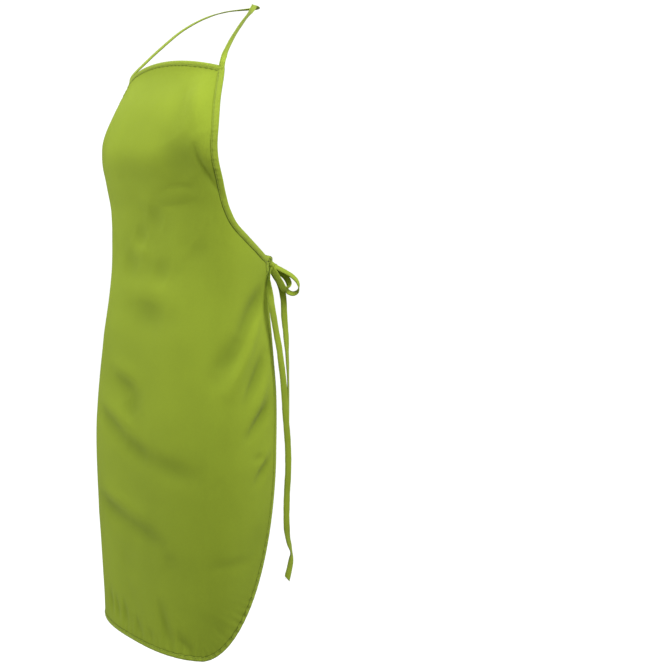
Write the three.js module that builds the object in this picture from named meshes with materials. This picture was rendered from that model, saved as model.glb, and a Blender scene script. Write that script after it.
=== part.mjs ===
// A bib apron in the form that it takes when it is worn: one cloth panel bent round the front and
// sides of the body, its edges bound with folded tape, a neck strap, and waist ties in a side bow.
// Millimetres, +Z up. The front faces -Y and +X is the wearer's left. The origin is the middle of
// the neck strap, where it passes over the nape.
import * as THREE from "three";

// Cloth and tape
const CLOTH_WALL = 1.2;
const TAPE_WALL = 1.0;
const CLEARANCE = 0.35;
const STRAP_GAP = 1;
const STRAP_ROOM = 3;
const TOP_BINDING = 6;
const ARMHOLE_BINDING = 8;
const HEM_BINDING = 6;
const STRAP_WIDTH = 8;
const STRAP_THICKNESS = 1.8;
const TIE_WIDTH = 9;
const TIE_THICKNESS = 1.6;

// The cut of the panel: lengths down from the middle of the bib's top edge, and half widths along
// the cloth from its middle line
const CLOTH_DROP = 840;
const CLOTH_HALF = 268;
const BIB_HALF = 118;
const TOP_ARCH = 16;
const ARMHOLE_DROP = 275;
const HEM_CORNER_RISE = 286;
const HEM_CORNER_RUN = 134;
const HEM_CORNER_CURVE = 1.74;

// The body that it hangs on
const NAPE_ABOVE_BIB = 93;
const NAPE_BEHIND_SIDES = 137;
const HIP_HALF = 163;
const HIP_FRONT = 96;
const BACK_DEPTH = 162;
const TIE_BEHIND_CORNERS = 66;

// The bow
const KNOT_RADIUS = 5.5;
const KNOT_DOWN = 6;
const KNOT_OUT = 1;

// Mesh density
const FLAT_HEM_COLUMNS = 14;
const CORNER_STEPS = 8;
const ARMHOLE_ROWS = 13;
const SIDE_ROWS = 13;
const CURVE_STEPS = 100;
const NORMAL_REACH = 2;
const SHARE_REACH = 0.001;
const SAME_PLACE = 0.0001;
const STRAP_STEPS = 36;
const TIE_STEPS = 30;
const LOOP_STEPS = 20;
const TAIL_STEPS = 36;
const KNOT_SIDES = 14;

// Horizontal sections of the body. drop is a share of CLOTH_DROP. half, the half width, is a share
// of HIP_HALF. front, how far the middle stands forward of the sides, and depth, from the middle
// back to the widest line, are shares of HIP_FRONT. square is the exponent of the section's curve.
const SECTIONS = [
  { drop: 0.0, half: 0.93, front: 0.36, depth: 0.75, square: 2.0 },
  { drop: 0.025, half: 0.92, front: 0.44, depth: 0.77, square: 2.0 },
  { drop: 0.075, half: 0.9, front: 0.72, depth: 0.886, square: 2.2 },
  { drop: 0.124, half: 0.915, front: 0.9, depth: 0.92, square: 2.4 },
  { drop: 0.159, half: 0.9, front: 0.955, depth: 0.99, square: 2.5 },
  { drop: 0.204, half: 0.872, front: 0.86, depth: 0.88, square: 2.5 },
  { drop: 0.253, half: 0.85, front: 0.755, depth: 0.755, square: 2.5 },
  { drop: 0.341, half: 0.844, front: 0.735, depth: 0.735, square: 2.6 },
  { drop: 0.398, half: 0.85, front: 0.8, depth: 0.8, square: 2.6 },
  { drop: 0.467, half: 0.895, front: 0.88, depth: 0.88, square: 2.6 },
  { drop: 0.547, half: 0.963, front: 0.935, depth: 0.935, square: 2.6 },
  { drop: 0.628, half: 0.995, front: 0.99, depth: 0.99, square: 2.6 },
  { drop: 0.688, half: 1.0, front: 1.0, depth: 1.0, square: 2.6 },
  { drop: 0.784, half: 0.977, front: 0.985, depth: 0.985, square: 2.6 },
  { drop: 0.91, half: 0.917, front: 0.96, depth: 0.96, square: 2.6 },
  { drop: 1.0, half: 0.862, front: 0.96, depth: 0.96, square: 2.6 },
];

// The armhole edge of the cut. along is the share of the way down from the bib's corner to the
// waist corner, out the share of the way across between them.
const ARMHOLE = [
  { along: 0.0, out: 0.0 },
  { along: 0.08, out: 0.07 },
  { along: 0.16, out: 0.14 },
  { along: 0.31, out: 0.26 },
  { along: 0.42, out: 0.3 },
  { along: 0.54, out: 0.31 },
  { along: 0.68, out: 0.32 },
  { along: 0.74, out: 0.345 },
  { along: 0.81, out: 0.43 },
  { along: 0.875, out: 0.6 },
  { along: 0.94, out: 0.8 },
  { along: 1.0, out: 1.0 },
];

// The side edge of the skirt. along is the share of the way from the waist corner to the start of
// the round hem corner, out a share of CLOTH_HALF.
const SIDE = [
  { along: 0.0, out: 0.85 },
  { along: 0.126, out: 0.87 },
  { along: 0.257, out: 0.888 },
  { along: 0.4, out: 0.925 },
  { along: 0.56, out: 0.957 },
  { along: 0.683, out: 0.978 },
  { along: 0.85, out: 0.99 },
  { along: 1.0, out: 0.992 },
];

// Main folds and dents of the cloth, each a crease from one place to another. x is a share of
// CLOTH_HALF from the middle line and z a share of CLOTH_DROP. width is a share of CLOTH_HALF, and
// so is rise, which is negative for a dent.
const FOLDS = [
  { x0: 0.5, z0: 0.095, x1: 0.585, z1: 0.165, width: 0.05, rise: -0.026 },
  { x0: 0.44, z0: 0.1, x1: 0.53, z1: 0.185, width: 0.05, rise: 0.016 },
  { x0: -0.25, z0: 0.165, x1: 0.3, z1: 0.175, width: 0.05, rise: -0.01 },
  { x0: 0.86, z0: 0.36, x1: 0.6, z1: 0.47, width: 0.07, rise: -0.026 },
  { x0: 0.9, z0: 0.41, x1: 0.72, z1: 0.5, width: 0.055, rise: 0.024 },
  { x0: 0.94, z0: 0.46, x1: 0.74, z1: 0.54, width: 0.06, rise: -0.026 },
  { x0: -0.9, z0: 0.36, x1: -0.6, z1: 0.47, width: 0.07, rise: -0.024 },
  { x0: -0.94, z0: 0.44, x1: -0.72, z1: 0.52, width: 0.06, rise: 0.02 },
  { x0: -0.1, z0: 0.49, x1: 0.36, z1: 0.62, width: 0.07, rise: -0.016 },
  { x0: -0.05, z0: 0.67, x1: 0.4, z1: 0.74, width: 0.07, rise: -0.014 },
  { x0: 0.1, z0: 0.9, x1: 0.12, z1: 0.97, width: 0.05, rise: -0.012 },
  { x0: 0.28, z0: 0.91, x1: 0.3, z1: 0.975, width: 0.045, rise: 0.012 },
];

// How much of the sine that swells a fold between its ends is left off at each end
const FOLD_END = 0.15;

// The neck strap from the nape, at 0, to the bib's corner, at 1: shares of the corner's distance
// sideways, forward and down. lean turns the tape's face from the nape's to the panel's.
const STRAP_ROUTE = [
  { across: 0.0, forward: 0.0, down: 0.0, lean: 0.0 },
  { across: 0.3, forward: 0.2, down: 0.035, lean: 0.15 },
  { across: 0.52, forward: 0.345, down: 0.118, lean: 0.35 },
  { across: 0.69, forward: 0.53, down: 0.297, lean: 0.55 },
  { across: 0.79, forward: 0.71, down: 0.53, lean: 0.75 },
  { across: 0.905, forward: 0.89, down: 0.8, lean: 0.9 },
  { across: 1.0, forward: 1.0, down: 1.0, lean: 1.0 },
];

// The tie round the back: shares of the knot's distance from the middle, of TIE_BEHIND_CORNERS and
// of the height that it falls from the right waist corner to the knot
const TIE_ROUTE = [
  { across: -1.0, back: 0.0, fall: 0.0 },
  { across: -0.78, back: 0.4, fall: 0.15 },
  { across: -0.5, back: 0.75, fall: 0.3 },
  { across: 0.0, back: 1.0, fall: 0.5 },
  { across: 0.5, back: 0.75, fall: 0.7 },
  { across: 0.78, back: 0.4, fall: 0.85 },
  { across: 1.0, back: 0.0, fall: 1.0 },
];

// Routes of the bow's free tapes from the middle of the knot, in millimetres. face is the compass
// turn of the tape's face in degrees, from the front at 0 to the wearer's left at 90, and tip its
// tilt upwards.
const LARGE_LOOP = [
  { x: 3.6, y: 4, z: -2.4, face: 50, tip: 60 },
  { x: 14, y: 19, z: -11.5, face: 50, tip: 60 },
  { x: 23, y: 25.5, z: -21.5, face: 50, tip: 50 },
  { x: 26, y: 29.5, z: -35, face: 50, tip: 20 },
  { x: 24.5, y: 27.5, z: -43, face: 50, tip: -20 },
  { x: 20.5, y: 21.5, z: -46.5, face: 50, tip: 20 },
  { x: 15.5, y: 15, z: -43, face: 50, tip: 40 },
  { x: 10, y: 7.5, z: -30, face: 50, tip: 40 },
  { x: 3, y: 3.5, z: -11, face: 50, tip: 40 },
];
const SMALL_LOOP = [
  { x: 7, y: -0.5, z: 0, face: 50, tip: 60 },
  { x: 13, y: 3, z: -7, face: 50, tip: 50 },
  { x: 20, y: 10, z: -16.5, face: 50, tip: 50 },
  { x: 23, y: 14, z: -26, face: 50, tip: 20 },
  { x: 19, y: 9, z: -34.5, face: 50, tip: -20 },
  { x: 15.5, y: 6, z: -31, face: 50, tip: 30 },
  { x: 8, y: 0, z: -12, face: 50, tip: 40 },
];
const LONG_TAIL = [
  { x: 7, y: -6.5, z: -7.5, face: 60, tip: 0 },
  { x: 13.5, y: -17.5, z: -14, face: 60, tip: 0 },
  { x: 17.5, y: -18.5, z: -27, face: 60, tip: 0 },
  { x: 18, y: -13.5, z: -59, face: 65, tip: 0 },
  { x: 22, y: -7, z: -101.5, face: 70, tip: 0 },
  { x: 25, y: -5, z: -119, face: 70, tip: 0 },
  { x: 28, y: -4.5, z: -136, face: 70, tip: 0 },
  { x: 30.5, y: -3.5, z: -153, face: 65, tip: 0 },
  { x: 33, y: -3, z: -171, face: 60, tip: 0 },
  { x: 37.5, y: -3, z: -211, face: 60, tip: 0 },
  { x: 40.5, y: -0.5, z: -258, face: 60, tip: 0 },
  { x: 41.5, y: -0.5, z: -293, face: 60, tip: 0 },
  { x: 40, y: -1, z: -329, face: 60, tip: 0 },
  { x: 40.5, y: -1, z: -373.5, face: 65, tip: 0 },
  { x: 39.5, y: 3.5, z: -400.5, face: 95, tip: 0 },
  { x: 38.5, y: 10, z: -418.5, face: 125, tip: 0 },
  { x: 37, y: 10.5, z: -436.5, face: 80, tip: 0 },
  { x: 35.5, y: 5.5, z: -460, face: 60, tip: 0 },
];
const SHORT_TAIL = [
  { x: -1, y: 1, z: -6, face: 55, tip: 0 },
  { x: -1.5, y: 4, z: -13, face: 55, tip: 0 },
  { x: 2.8, y: 12, z: -31, face: 55, tip: 0 },
  { x: 6, y: 16, z: -51, face: 55, tip: 0 },
  { x: 8, y: 19, z: -77, face: 60, tip: 0 },
  { x: 9.7, y: 21, z: -102.5, face: 80, tip: 0 },
  { x: 11.2, y: 23, z: -137, face: 110, tip: 0 },
  { x: 12, y: 24.5, z: -172, face: 125, tip: 0 },
  { x: 12.5, y: 25, z: -225, face: 125, tip: 0 },
  { x: 12.5, y: 25, z: -272, face: 120, tip: 0 },
  { x: 12.5, y: 25, z: -322, face: 110, tip: 0 },
];

// The value of a column at a place between a table's rows, with slopes that run on through them
function readTable(table, position, at, column) {
  const last = table.length - 1;
  let i = 0;
  while (i < last - 1 && table[i + 1][position] < at) i += 1;
  const slope = (k) => {
    const before = table[Math.max(k - 1, 0)];
    const after = table[Math.min(k + 1, last)];
    return (after[column] - before[column]) / (after[position] - before[position]);
  };
  const [low, high] = [table[i], table[i + 1]];
  const span = high[position] - low[position];
  const t = THREE.MathUtils.clamp((at - low[position]) / span, 0, 1);
  const ease = t * t * (3 - 2 * t);
  const bend = t * (1 - t) * (1 - t) * slope(i) - t * t * (1 - t) * slope(i + 1);
  return low[column] * (1 - ease) + high[column] * ease + span * bend;
}

// Half of a horizontal section of the body, from the middle of the front, at 0, round the side
class BodySection extends THREE.Curve {
  constructor(drop) {
    super();
    this.arcLengthDivisions = CURVE_STEPS;
    this.half = HIP_HALF * readTable(SECTIONS, "drop", drop, "half");
    this.front = HIP_FRONT * readTable(SECTIONS, "drop", drop, "front");
    this.depth = HIP_FRONT * readTable(SECTIONS, "drop", drop, "depth");
    this.power = 2 / readTable(SECTIONS, "drop", drop, "square");
  }

  getPoint(t, target = new THREE.Vector3()) {
    const sidewaysTurn = Math.PI / 2;
    const angle = t * 2 * sidewaysTurn;
    if (angle <= sidewaysTurn) {
      const forward = Math.max(Math.cos(angle), 0) ** this.power;
      return target.set(this.half * Math.sin(angle) ** this.power, -this.front + this.depth * (1 - forward), 0);
    }
    const beyond = angle - sidewaysTurn;
    const back = -this.front + this.depth + BACK_DEPTH * Math.sin(beyond);
    return target.set(this.half * Math.cos(beyond), back, 0);
  }
}

// A place on the body's smooth form: across is the length along the cloth from its middle line,
// drop the height below the bib's top
function bodyPoint(across, drop) {
  const section = new BodySection(drop / CLOTH_DROP);
  const point = section.getPointAt(Math.min(Math.abs(across) / section.getLength(), 1));
  point.x *= Math.sign(across) || 1;
  return point.add(new THREE.Vector3(0, -NAPE_BEHIND_SIDES, -NAPE_ABOVE_BIB - drop));
}

function bodyNormal(across, drop) {
  const along = bodyPoint(across + NORMAL_REACH, drop).sub(bodyPoint(across - NORMAL_REACH, drop));
  const down = bodyPoint(across, drop + NORMAL_REACH).sub(bodyPoint(across, drop - NORMAL_REACH));
  return down.cross(along).normalize();
}

// How far the folds lift the cloth off the body's form at a place of the cut
function foldRise(across, drop) {
  const place = new THREE.Vector2(across, drop);
  return FOLDS.reduce((rise, fold) => {
    const start = new THREE.Vector2(fold.x0 * CLOTH_HALF, fold.z0 * CLOTH_DROP);
    const run = new THREE.Vector2(fold.x1 * CLOTH_HALF, fold.z1 * CLOTH_DROP).sub(start);
    const along = THREE.MathUtils.clamp(place.clone().sub(start).dot(run) / run.lengthSq(), 0, 1);
    const aside = place.distanceTo(start.clone().addScaledVector(run, along));
    const fade = Math.exp(-((aside / (fold.width * CLOTH_HALF)) ** 2));
    const swell = Math.sin(Math.PI * THREE.MathUtils.lerp(FOLD_END, 1 - FOLD_END, along));
    return rise + fold.rise * CLOTH_HALF * fade * swell;
  }, 0);
}

// A node of the panel: its place in the middle of the wall, and the outward direction there. The
// tape holds the cloth smooth along the edge, so the folds stop short of it.
function clothNode({ across, drop }, underTape) {
  const normal = bodyNormal(across, drop);
  const place = bodyPoint(across, drop);
  if (!underTape) place.addScaledVector(normal, foldRise(across, drop));
  return { place, normal };
}

// The edge of the cut on the wearer's left, by rows from the bib's corner down to the middle of
// the round hem corner, and then by columns to the flat hem
const waistHalf = CLOTH_HALF * SIDE[0].out;
const skirtHalf = CLOTH_HALF * SIDE.at(-1).out;

function armholeEdge(share) {
  return {
    across: BIB_HALF + (waistHalf - BIB_HALF) * readTable(ARMHOLE, "along", share, "out"),
    drop: TOP_ARCH + (ARMHOLE_DROP - TOP_ARCH) * share,
  };
}

function sideEdge(share) {
  const end = CLOTH_DROP - HEM_CORNER_RISE;
  return {
    across: CLOTH_HALF * readTable(SIDE, "along", share, "out"),
    drop: ARMHOLE_DROP + (end - ARMHOLE_DROP) * share,
  };
}

function cornerEdge(share) {
  const angle = (share * Math.PI) / 2;
  const power = 2 / HEM_CORNER_CURVE;
  return {
    across: skirtHalf - HEM_CORNER_RUN * (1 - Math.cos(angle) ** power),
    drop: CLOTH_DROP - HEM_CORNER_RISE * (1 - Math.sin(angle) ** power),
  };
}

// Moves a place of an edge square to the edge, into the cloth, by a width
function inward(edge, share, width) {
  const low = edge(Math.max(share - SHARE_REACH, 0));
  const high = edge(Math.min(share + SHARE_REACH, 1));
  const run = new THREE.Vector2(high.across - low.across, high.drop - low.drop).normalize();
  const at = edge(share);
  return { across: at.across - width * run.y, drop: at.drop + width * run.x };
}

// Edge stations on the wearer's left. The armhole's first station lies a binding's width below the
// top, and the corner's last one as far before the corner's middle.
const armholeStart = TOP_BINDING / (ARMHOLE_DROP - TOP_ARCH);
const cornerStop = 0.5 - HEM_BINDING / (HEM_CORNER_RISE + HEM_CORNER_RUN);
const spread = (from, to, steps) =>
  Array.from({ length: steps + 1 }, (_, k) => from + ((to - from) * k) / steps);
const sideStations = [
  ...spread(armholeStart, 1, ARMHOLE_ROWS).map((share) => ({
    outer: armholeEdge(share),
    inner: inward(armholeEdge, share, ARMHOLE_BINDING),
  })),
  ...spread(0, 1, SIDE_ROWS)
    .slice(1)
    .map((share) => ({ outer: sideEdge(share), inner: inward(sideEdge, share, HEM_BINDING) })),
  ...spread(0, cornerStop, CORNER_STEPS)
    .slice(1)
    .map((share) => ({ outer: cornerEdge(share), inner: inward(cornerEdge, share, HEM_BINDING) })),
];
const cornerMiddle = cornerEdge(0.5);
sideStations.at(-1).inner = inward(cornerEdge, 0.5, HEM_BINDING);

const flatHemHalf = skirtHalf - HEM_CORNER_RUN;
const hemStations = [
  ...spread(1 - cornerStop, 1, CORNER_STEPS).map((share) => ({
    outer: cornerEdge(share),
    inner: inward(cornerEdge, share, HEM_BINDING),
  })),
  ...spread(flatHemHalf, 0, FLAT_HEM_COLUMNS / 2)
    .slice(1)
    .map((across) => ({
      outer: { across, drop: CLOTH_DROP },
      inner: { across, drop: CLOTH_DROP - HEM_BINDING },
    })),
];
hemStations[0].inner = sideStations.at(-1).inner;

const COLUMNS = 2 * (hemStations.length - 1);
const ROWS = sideStations.length - 1;
const bibCorner = sideStations[0].inner;

// The place of an inner node of the cut, by its column and row, blended between the four edges
function innerNode(column, row) {
  const u = Math.abs(1 - (2 * column) / COLUMNS);
  const v = row / ROWS;
  const topAt = (share) => ({
    across: bibCorner.across * share,
    drop: bibCorner.drop - TOP_ARCH * (1 - share * share),
  });
  const top = topAt(u);
  const hem = hemStations[Math.min(column, COLUMNS - column)].inner;
  const side = sideStations[row].inner;
  const foot = hemStations[0].inner;
  const middleDrop = topAt(0).drop + (CLOTH_DROP - HEM_BINDING - topAt(0).drop) * v;
  const blend = (key, middleAt) =>
    top[key] * (1 - v) +
    hem[key] * v +
    side[key] * u +
    middleAt * (1 - u) -
    ((1 - v) * (bibCorner[key] * u + topAt(0)[key] * (1 - u)) +
      v * (foot[key] * u + hemStations.at(-1).inner[key] * (1 - u)));
  const across = blend("across", 0);
  return { across: column > COLUMNS / 2 ? across : -across, drop: blend("drop", middleDrop) };
}

// The whole grid of the panel: the inner nodes, and round them the nodes of the edge itself
function panelGrid() {
  const mirror = ({ across, drop }, left) => ({ across: left ? -across : across, drop });
  const grid = [];
  for (let row = -1; row <= ROWS + 1; row += 1) {
    const nodes = [];
    for (let column = -1; column <= COLUMNS + 1; column += 1) {
      const left = column < COLUMNS / 2;
      const onSide = column < 0 || column > COLUMNS;
      const near = Math.min(Math.max(Math.min(column, COLUMNS - column), 0), COLUMNS / 2);
      let flat = null;
      if (row < 0 && onSide) flat = mirror(armholeEdge(0), left);
      else if (row > ROWS && onSide) flat = mirror(cornerMiddle, left);
      else if (onSide) flat = mirror(sideStations[row].outer, left);
      else if (row > ROWS) flat = mirror(hemStations[near].outer, left);
      else if (row < 0) {
        const under = innerNode(column, 0);
        flat = { across: under.across, drop: under.drop - TOP_BINDING };
      } else flat = innerNode(column, row);
      const underTape = row <= 0 || row >= ROWS || column <= 0 || column >= COLUMNS;
      nodes.push(clothNode(flat, underTape));
    }
    grid.push(nodes);
  }
  return grid;
}

// A closed mesh from vertices and triangles, without the triangles that have no area, and with its
// faces turned outwards
function closedGeometry(vertices, triangles) {
  const kept = triangles.filter(([a, b, c]) => {
    const apart = (p, q) => vertices[p].distanceTo(vertices[q]) > SAME_PLACE;
    return apart(a, b) && apart(b, c) && apart(c, a);
  });
  const volume = kept.reduce(
    (sum, [a, b, c]) => sum + vertices[a].dot(vertices[b].clone().cross(vertices[c])),
    0,
  );
  const index = kept.flatMap(([a, b, c]) => (volume < 0 ? [a, c, b] : [a, b, c]));
  const geometry = new THREE.BufferGeometry().setFromPoints(vertices);
  geometry.setIndex(index);
  geometry.computeVertexNormals();
  return geometry;
}

const quad = (a, b, c, d, backward) =>
  backward
    ? [
        [a, b, d],
        [b, c, d],
      ]
    : [
        [a, b, c],
        [a, c, d],
      ];

// The panel's wall: the grid offset to both sides, and a rim round the edge
function panelGeometry(grid) {
  const [rows, columns] = [grid.length, grid[0].length];
  const half = CLOTH_WALL / 2;
  const vertices = [half, -half].flatMap((offset) =>
    grid.flat().map(({ place, normal }) => place.clone().addScaledVector(normal, offset)),
  );
  const back = rows * columns;
  const at = (row, column) => row * columns + column;
  const triangles = [];
  for (let row = 0; row < rows - 1; row += 1) {
    for (let column = 0; column < columns - 1; column += 1) {
      const corners = [at(row, column), at(row, column + 1), at(row + 1, column + 1), at(row + 1, column)];
      const leftHalf = column < (columns - 1) / 2;
      const faces = quad(...corners, leftHalf);
      triangles.push(...faces, ...faces.map(([a, b, c]) => [a + back, c + back, b + back]));
    }
  }
  const rim = [
    ...spread(0, columns - 1, columns - 1).map((column) => at(0, column)),
    ...spread(1, rows - 1, rows - 2).map((row) => at(row, columns - 1)),
    ...spread(columns - 2, 0, columns - 2).map((column) => at(rows - 1, column)),
    ...spread(rows - 2, 1, rows - 3).map((row) => at(row, 0)),
  ];
  rim.forEach((a, k) => {
    const b = rim[(k + 1) % rim.length];
    triangles.push(...quad(b, a, a + back, b + back, false));
  });
  return closedGeometry(vertices, triangles);
}

// A solid through rings of as many points each. The ring's first half faces its second half, so
// the ends close with a strip. backward chooses each strip's diagonals.
function loft(rings, backward = () => false) {
  const count = rings[0].length;
  const vertices = rings.flat();
  const triangles = [];
  for (let k = 0; k < rings.length - 1; k += 1) {
    for (let i = 0; i < count; i += 1) {
      const j = (i + 1) % count;
      const [a, b] = [k * count + i, k * count + j];
      triangles.push(...quad(a, b, b + count, a + count, backward(k)));
    }
  }
  const end = (rings.length - 1) * count;
  for (let i = 0; i < count / 2 - 1; i += 1) {
    const strip = quad(i, i + 1, count - 2 - i, count - 1 - i, false);
    triangles.push(...strip.map(([a, b, c]) => [a, c, b]));
    triangles.push(...strip.map(([a, b, c]) => [a + end, b + end, c + end]));
  }
  return closedGeometry(vertices, triangles);
}

// Folded tape over an edge: a channel that holds the panel's wall. Each station has the node of the
// edge and the node under the channel's inner rims.
function bindingGeometry(stations, backward) {
  const inside = CLOTH_WALL / 2 + CLEARANCE;
  const outside = inside + TAPE_WALL;
  const rings = stations.map(({ edge, rim }) => {
    const out = edge.place.clone().sub(rim.place).normalize();
    const at = (node, rise, beyond) =>
      node.place.clone().addScaledVector(node.normal, rise).addScaledVector(out, beyond);
    return [
      at(rim, outside, 0),
      at(edge, outside, CLEARANCE + TAPE_WALL),
      at(edge, -outside, CLEARANCE + TAPE_WALL),
      at(rim, -outside, 0),
      at(rim, -inside, 0),
      at(edge, -inside, CLEARANCE),
      at(edge, inside, CLEARANCE),
      at(rim, inside, 0),
    ];
  });
  return loft(rings, backward);
}

// A station a clearance further on, so that the next channel starts clear of the last one
function shifted(from, to, distance) {
  const share = distance / from.edge.place.distanceTo(to.edge.place);
  const mix = (a, b) => ({
    place: a.place.clone().lerp(b.place, share),
    normal: a.normal.clone().lerp(b.normal, share).normalize(),
  });
  return { edge: mix(from.edge, to.edge), rim: mix(from.rim, to.rim) };
}

// Flat tape along a route of points, with the direction that its face looks in at each of them.
// headRing and tailRing, where given, are rings of its own that it starts and ends with.
function tapeRing(place, side, face, width, thickness) {
  const at = (across, rise) =>
    place.clone().addScaledVector(side, (across * width) / 2).addScaledVector(face, (rise * thickness) / 2);
  return [at(-1, -1), at(1, -1), at(1, 1), at(-1, 1)];
}

function tapeGeometry(points, faces, width, thickness, steps, headRing = null, tailRing = null) {
  const route = new THREE.CatmullRomCurve3(points, false, "centripetal");
  const rings = spread(0, 1, steps).map((share) => {
    const t = route.getUtoTmapping(share);
    const place = route.getPoint(t);
    const along = route.getTangent(t);
    const k = Math.min(Math.floor(t * (faces.length - 1)), faces.length - 2);
    const face = faces[k].clone().lerp(faces[k + 1], t * (faces.length - 1) - k);
    face.addScaledVector(along, -face.dot(along)).normalize();
    return tapeRing(place, along.clone().cross(face), face, width, thickness);
  });
  return loft([headRing, ...rings, tailRing].filter(Boolean));
}

const green = () => new THREE.MeshStandardMaterial({ color: 0x93a83a, roughness: 0.85, metalness: 0 });
const apron = new THREE.Group();

function add(name, geometry) {
  const mesh = new THREE.Mesh(geometry, green());
  mesh.name = name;
  apron.add(mesh);
  return mesh;
}

const grid = panelGrid();
const lastRow = grid.length - 1;
const lastColumn = grid[0].length - 1;
const waistRow = ARMHOLE_ROWS + 1;
add("apron_panel", panelGeometry(grid));

// The bindings. The sides' stations run down the grid's first or last column, the top's and the
// hem's along its first or last row.
const sideStation = (row, left) => ({
  edge: grid[row][left ? lastColumn : 0],
  rim: grid[Math.min(row, lastRow - 1)][left ? lastColumn - 1 : 1],
});
const flatStation = (column, top) => ({
  edge: grid[top ? 0 : lastRow][column],
  rim: grid[top ? 1 : lastRow - 1][Math.min(Math.max(column, 1), lastColumn - 1)],
});

const topStations = spread(1, lastColumn - 1, lastColumn - 2).map((column) => flatStation(column, true));
topStations[0] = shifted(topStations[0], topStations[1], STRAP_ROOM);
topStations[topStations.length - 1] = shifted(topStations.at(-1), topStations.at(-2), STRAP_ROOM);
add("bib_top_binding", bindingGeometry(topStations, (k) => k < COLUMNS / 2));

for (const left of [true, false]) {
  const stations = spread(0, waistRow, waistRow).map((row) => sideStation(row, left));
  add(`armhole_binding_${left ? "left" : "right"}`, bindingGeometry(stations, () => false));
}

const skirtStations = [
  ...spread(waistRow, lastRow, lastRow - waistRow).map((row) => sideStation(row, false)),
  ...spread(1, lastColumn - 1, lastColumn - 2).map((column) => flatStation(column, false)),
  ...spread(lastRow, waistRow, lastRow - waistRow).map((row) => sideStation(row, true)),
];
skirtStations[0] = shifted(skirtStations[0], skirtStations[1], CLEARANCE);
skirtStations[skirtStations.length - 1] = shifted(skirtStations.at(-1), skirtStations.at(-2), CLEARANCE);
const sideStrips = lastRow - waistRow;
const hemMiddle = sideStrips + lastColumn / 2;
add(
  "skirt_binding",
  bindingGeometry(skirtStations, (k) => !(k <= sideStrips || (k > hemMiddle && k < skirtStations.length - 1 - sideStrips))),
);

// The neck strap, from one armhole binding's upper end round the nape to the other. Its face turns
// from napeFace outwards to the sides and then to the panel's own.
const napeFace = new THREE.Vector3(0, 0.6, 1);
const outward = 2;
function strapEnd(left) {
  const { edge, rim } = sideStation(0, left);
  const side = edge.place.clone().sub(rim.place).normalize();
  const up = side.clone().cross(edge.normal);
  up.multiplyScalar(Math.sign(up.z));
  const overhang = CLEARANCE + TAPE_WALL;
  const middle = edge.place.clone().addScaledVector(side, (overhang - ARMHOLE_BINDING) / 2);
  const start = middle.clone().addScaledVector(up, STRAP_GAP);
  const across = left ? side.clone().negate() : side;
  return {
    point: middle.clone().addScaledVector(up, STRAP_WIDTH),
    face: edge.normal,
    ring: tapeRing(start, across, edge.normal, STRAP_WIDTH, STRAP_THICKNESS),
  };
}
const strapSide = (sign, { point, face }) =>
  STRAP_ROUTE.map(({ across, forward, down, lean }) => ({
    point: new THREE.Vector3(sign * across * Math.abs(point.x), forward * point.y, down * point.z),
    face: napeFace.clone().lerp(face, lean).add(new THREE.Vector3(sign * outward * lean * (1 - lean), 0, 0)),
  }));
const [strapHead, strapTail] = [strapEnd(false), strapEnd(true)];
const strapRoute = [...strapSide(-1, strapHead).reverse(), ...strapSide(1, strapTail).slice(1)];
add(
  "neck_strap",
  tapeGeometry(
    strapRoute.map(({ point }) => point),
    strapRoute.map(({ face }) => face),
    STRAP_WIDTH,
    STRAP_THICKNESS,
    STRAP_STEPS,
    strapHead.ring,
    strapTail.ring,
  ),
);

// The knot sits just off the wearer's left waist corner. The tie leaves the right one.
const level = new THREE.Vector3(1, 1, 0);
function waistCorner(left) {
  const { edge, rim } = sideStation(waistRow, left);
  return { place: edge.place, out: edge.place.clone().sub(rim.place).multiply(level).normalize() };
}
const tapeEnd = TAPE_WALL + 3 * CLEARANCE;
const knotCorner = waistCorner(true);
const knot = knotCorner.place.clone().addScaledVector(knotCorner.out, tapeEnd + KNOT_RADIUS + KNOT_OUT);
knot.z -= KNOT_DOWN;
const knotMesh = add("bow_knot", new THREE.SphereGeometry(KNOT_RADIUS, KNOT_SIDES, KNOT_SIDES / 2));
knotMesh.position.copy(knot);

// The tie round the back, from the wearer's right waist corner to the knot
const tieCorner = waistCorner(false);
const tieStart = tieCorner.place.clone().addScaledVector(tieCorner.out, tapeEnd);
const tiePoints = TIE_ROUTE.map(
  ({ across, back, fall }) =>
    new THREE.Vector3(
      across * knot.x,
      knot.y + back * TIE_BEHIND_CORNERS,
      THREE.MathUtils.lerp(tieStart.z, knot.z, fall),
    ),
);
tiePoints[0] = tieStart;
const intoKnot = tiePoints.at(-2).clone().sub(knot).setLength(KNOT_RADIUS + CLEARANCE);
tiePoints[tiePoints.length - 1] = knot.clone().add(intoKnot);
const tieFaces = TIE_ROUTE.map(({ across, back }) => new THREE.Vector3(across, back, 0).normalize());
add("waist_tie", tapeGeometry(tiePoints, tieFaces, TIE_WIDTH, TIE_THICKNESS, TIE_STEPS));

function bowTape(name, route, steps) {
  const points = route.map(({ x, y, z }) => new THREE.Vector3(x, y, z).add(knot));
  const faces = route.map(({ face, tip }) => {
    const [turn, tilt] = [THREE.MathUtils.degToRad(face), THREE.MathUtils.degToRad(tip)];
    return new THREE.Vector3(Math.sin(turn) * Math.cos(tilt), -Math.cos(turn) * Math.cos(tilt), Math.sin(tilt));
  });
  add(name, tapeGeometry(points, faces, TIE_WIDTH, TIE_THICKNESS, steps));
}

bowTape("bow_loop_large", LARGE_LOOP, LOOP_STEPS);
bowTape("bow_loop_small", SMALL_LOOP, LOOP_STEPS);
bowTape("tie_tail_long", LONG_TAIL, TAIL_STEPS);
bowTape("tie_tail_short", SHORT_TAIL, TAIL_STEPS);

export default apron;
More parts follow.
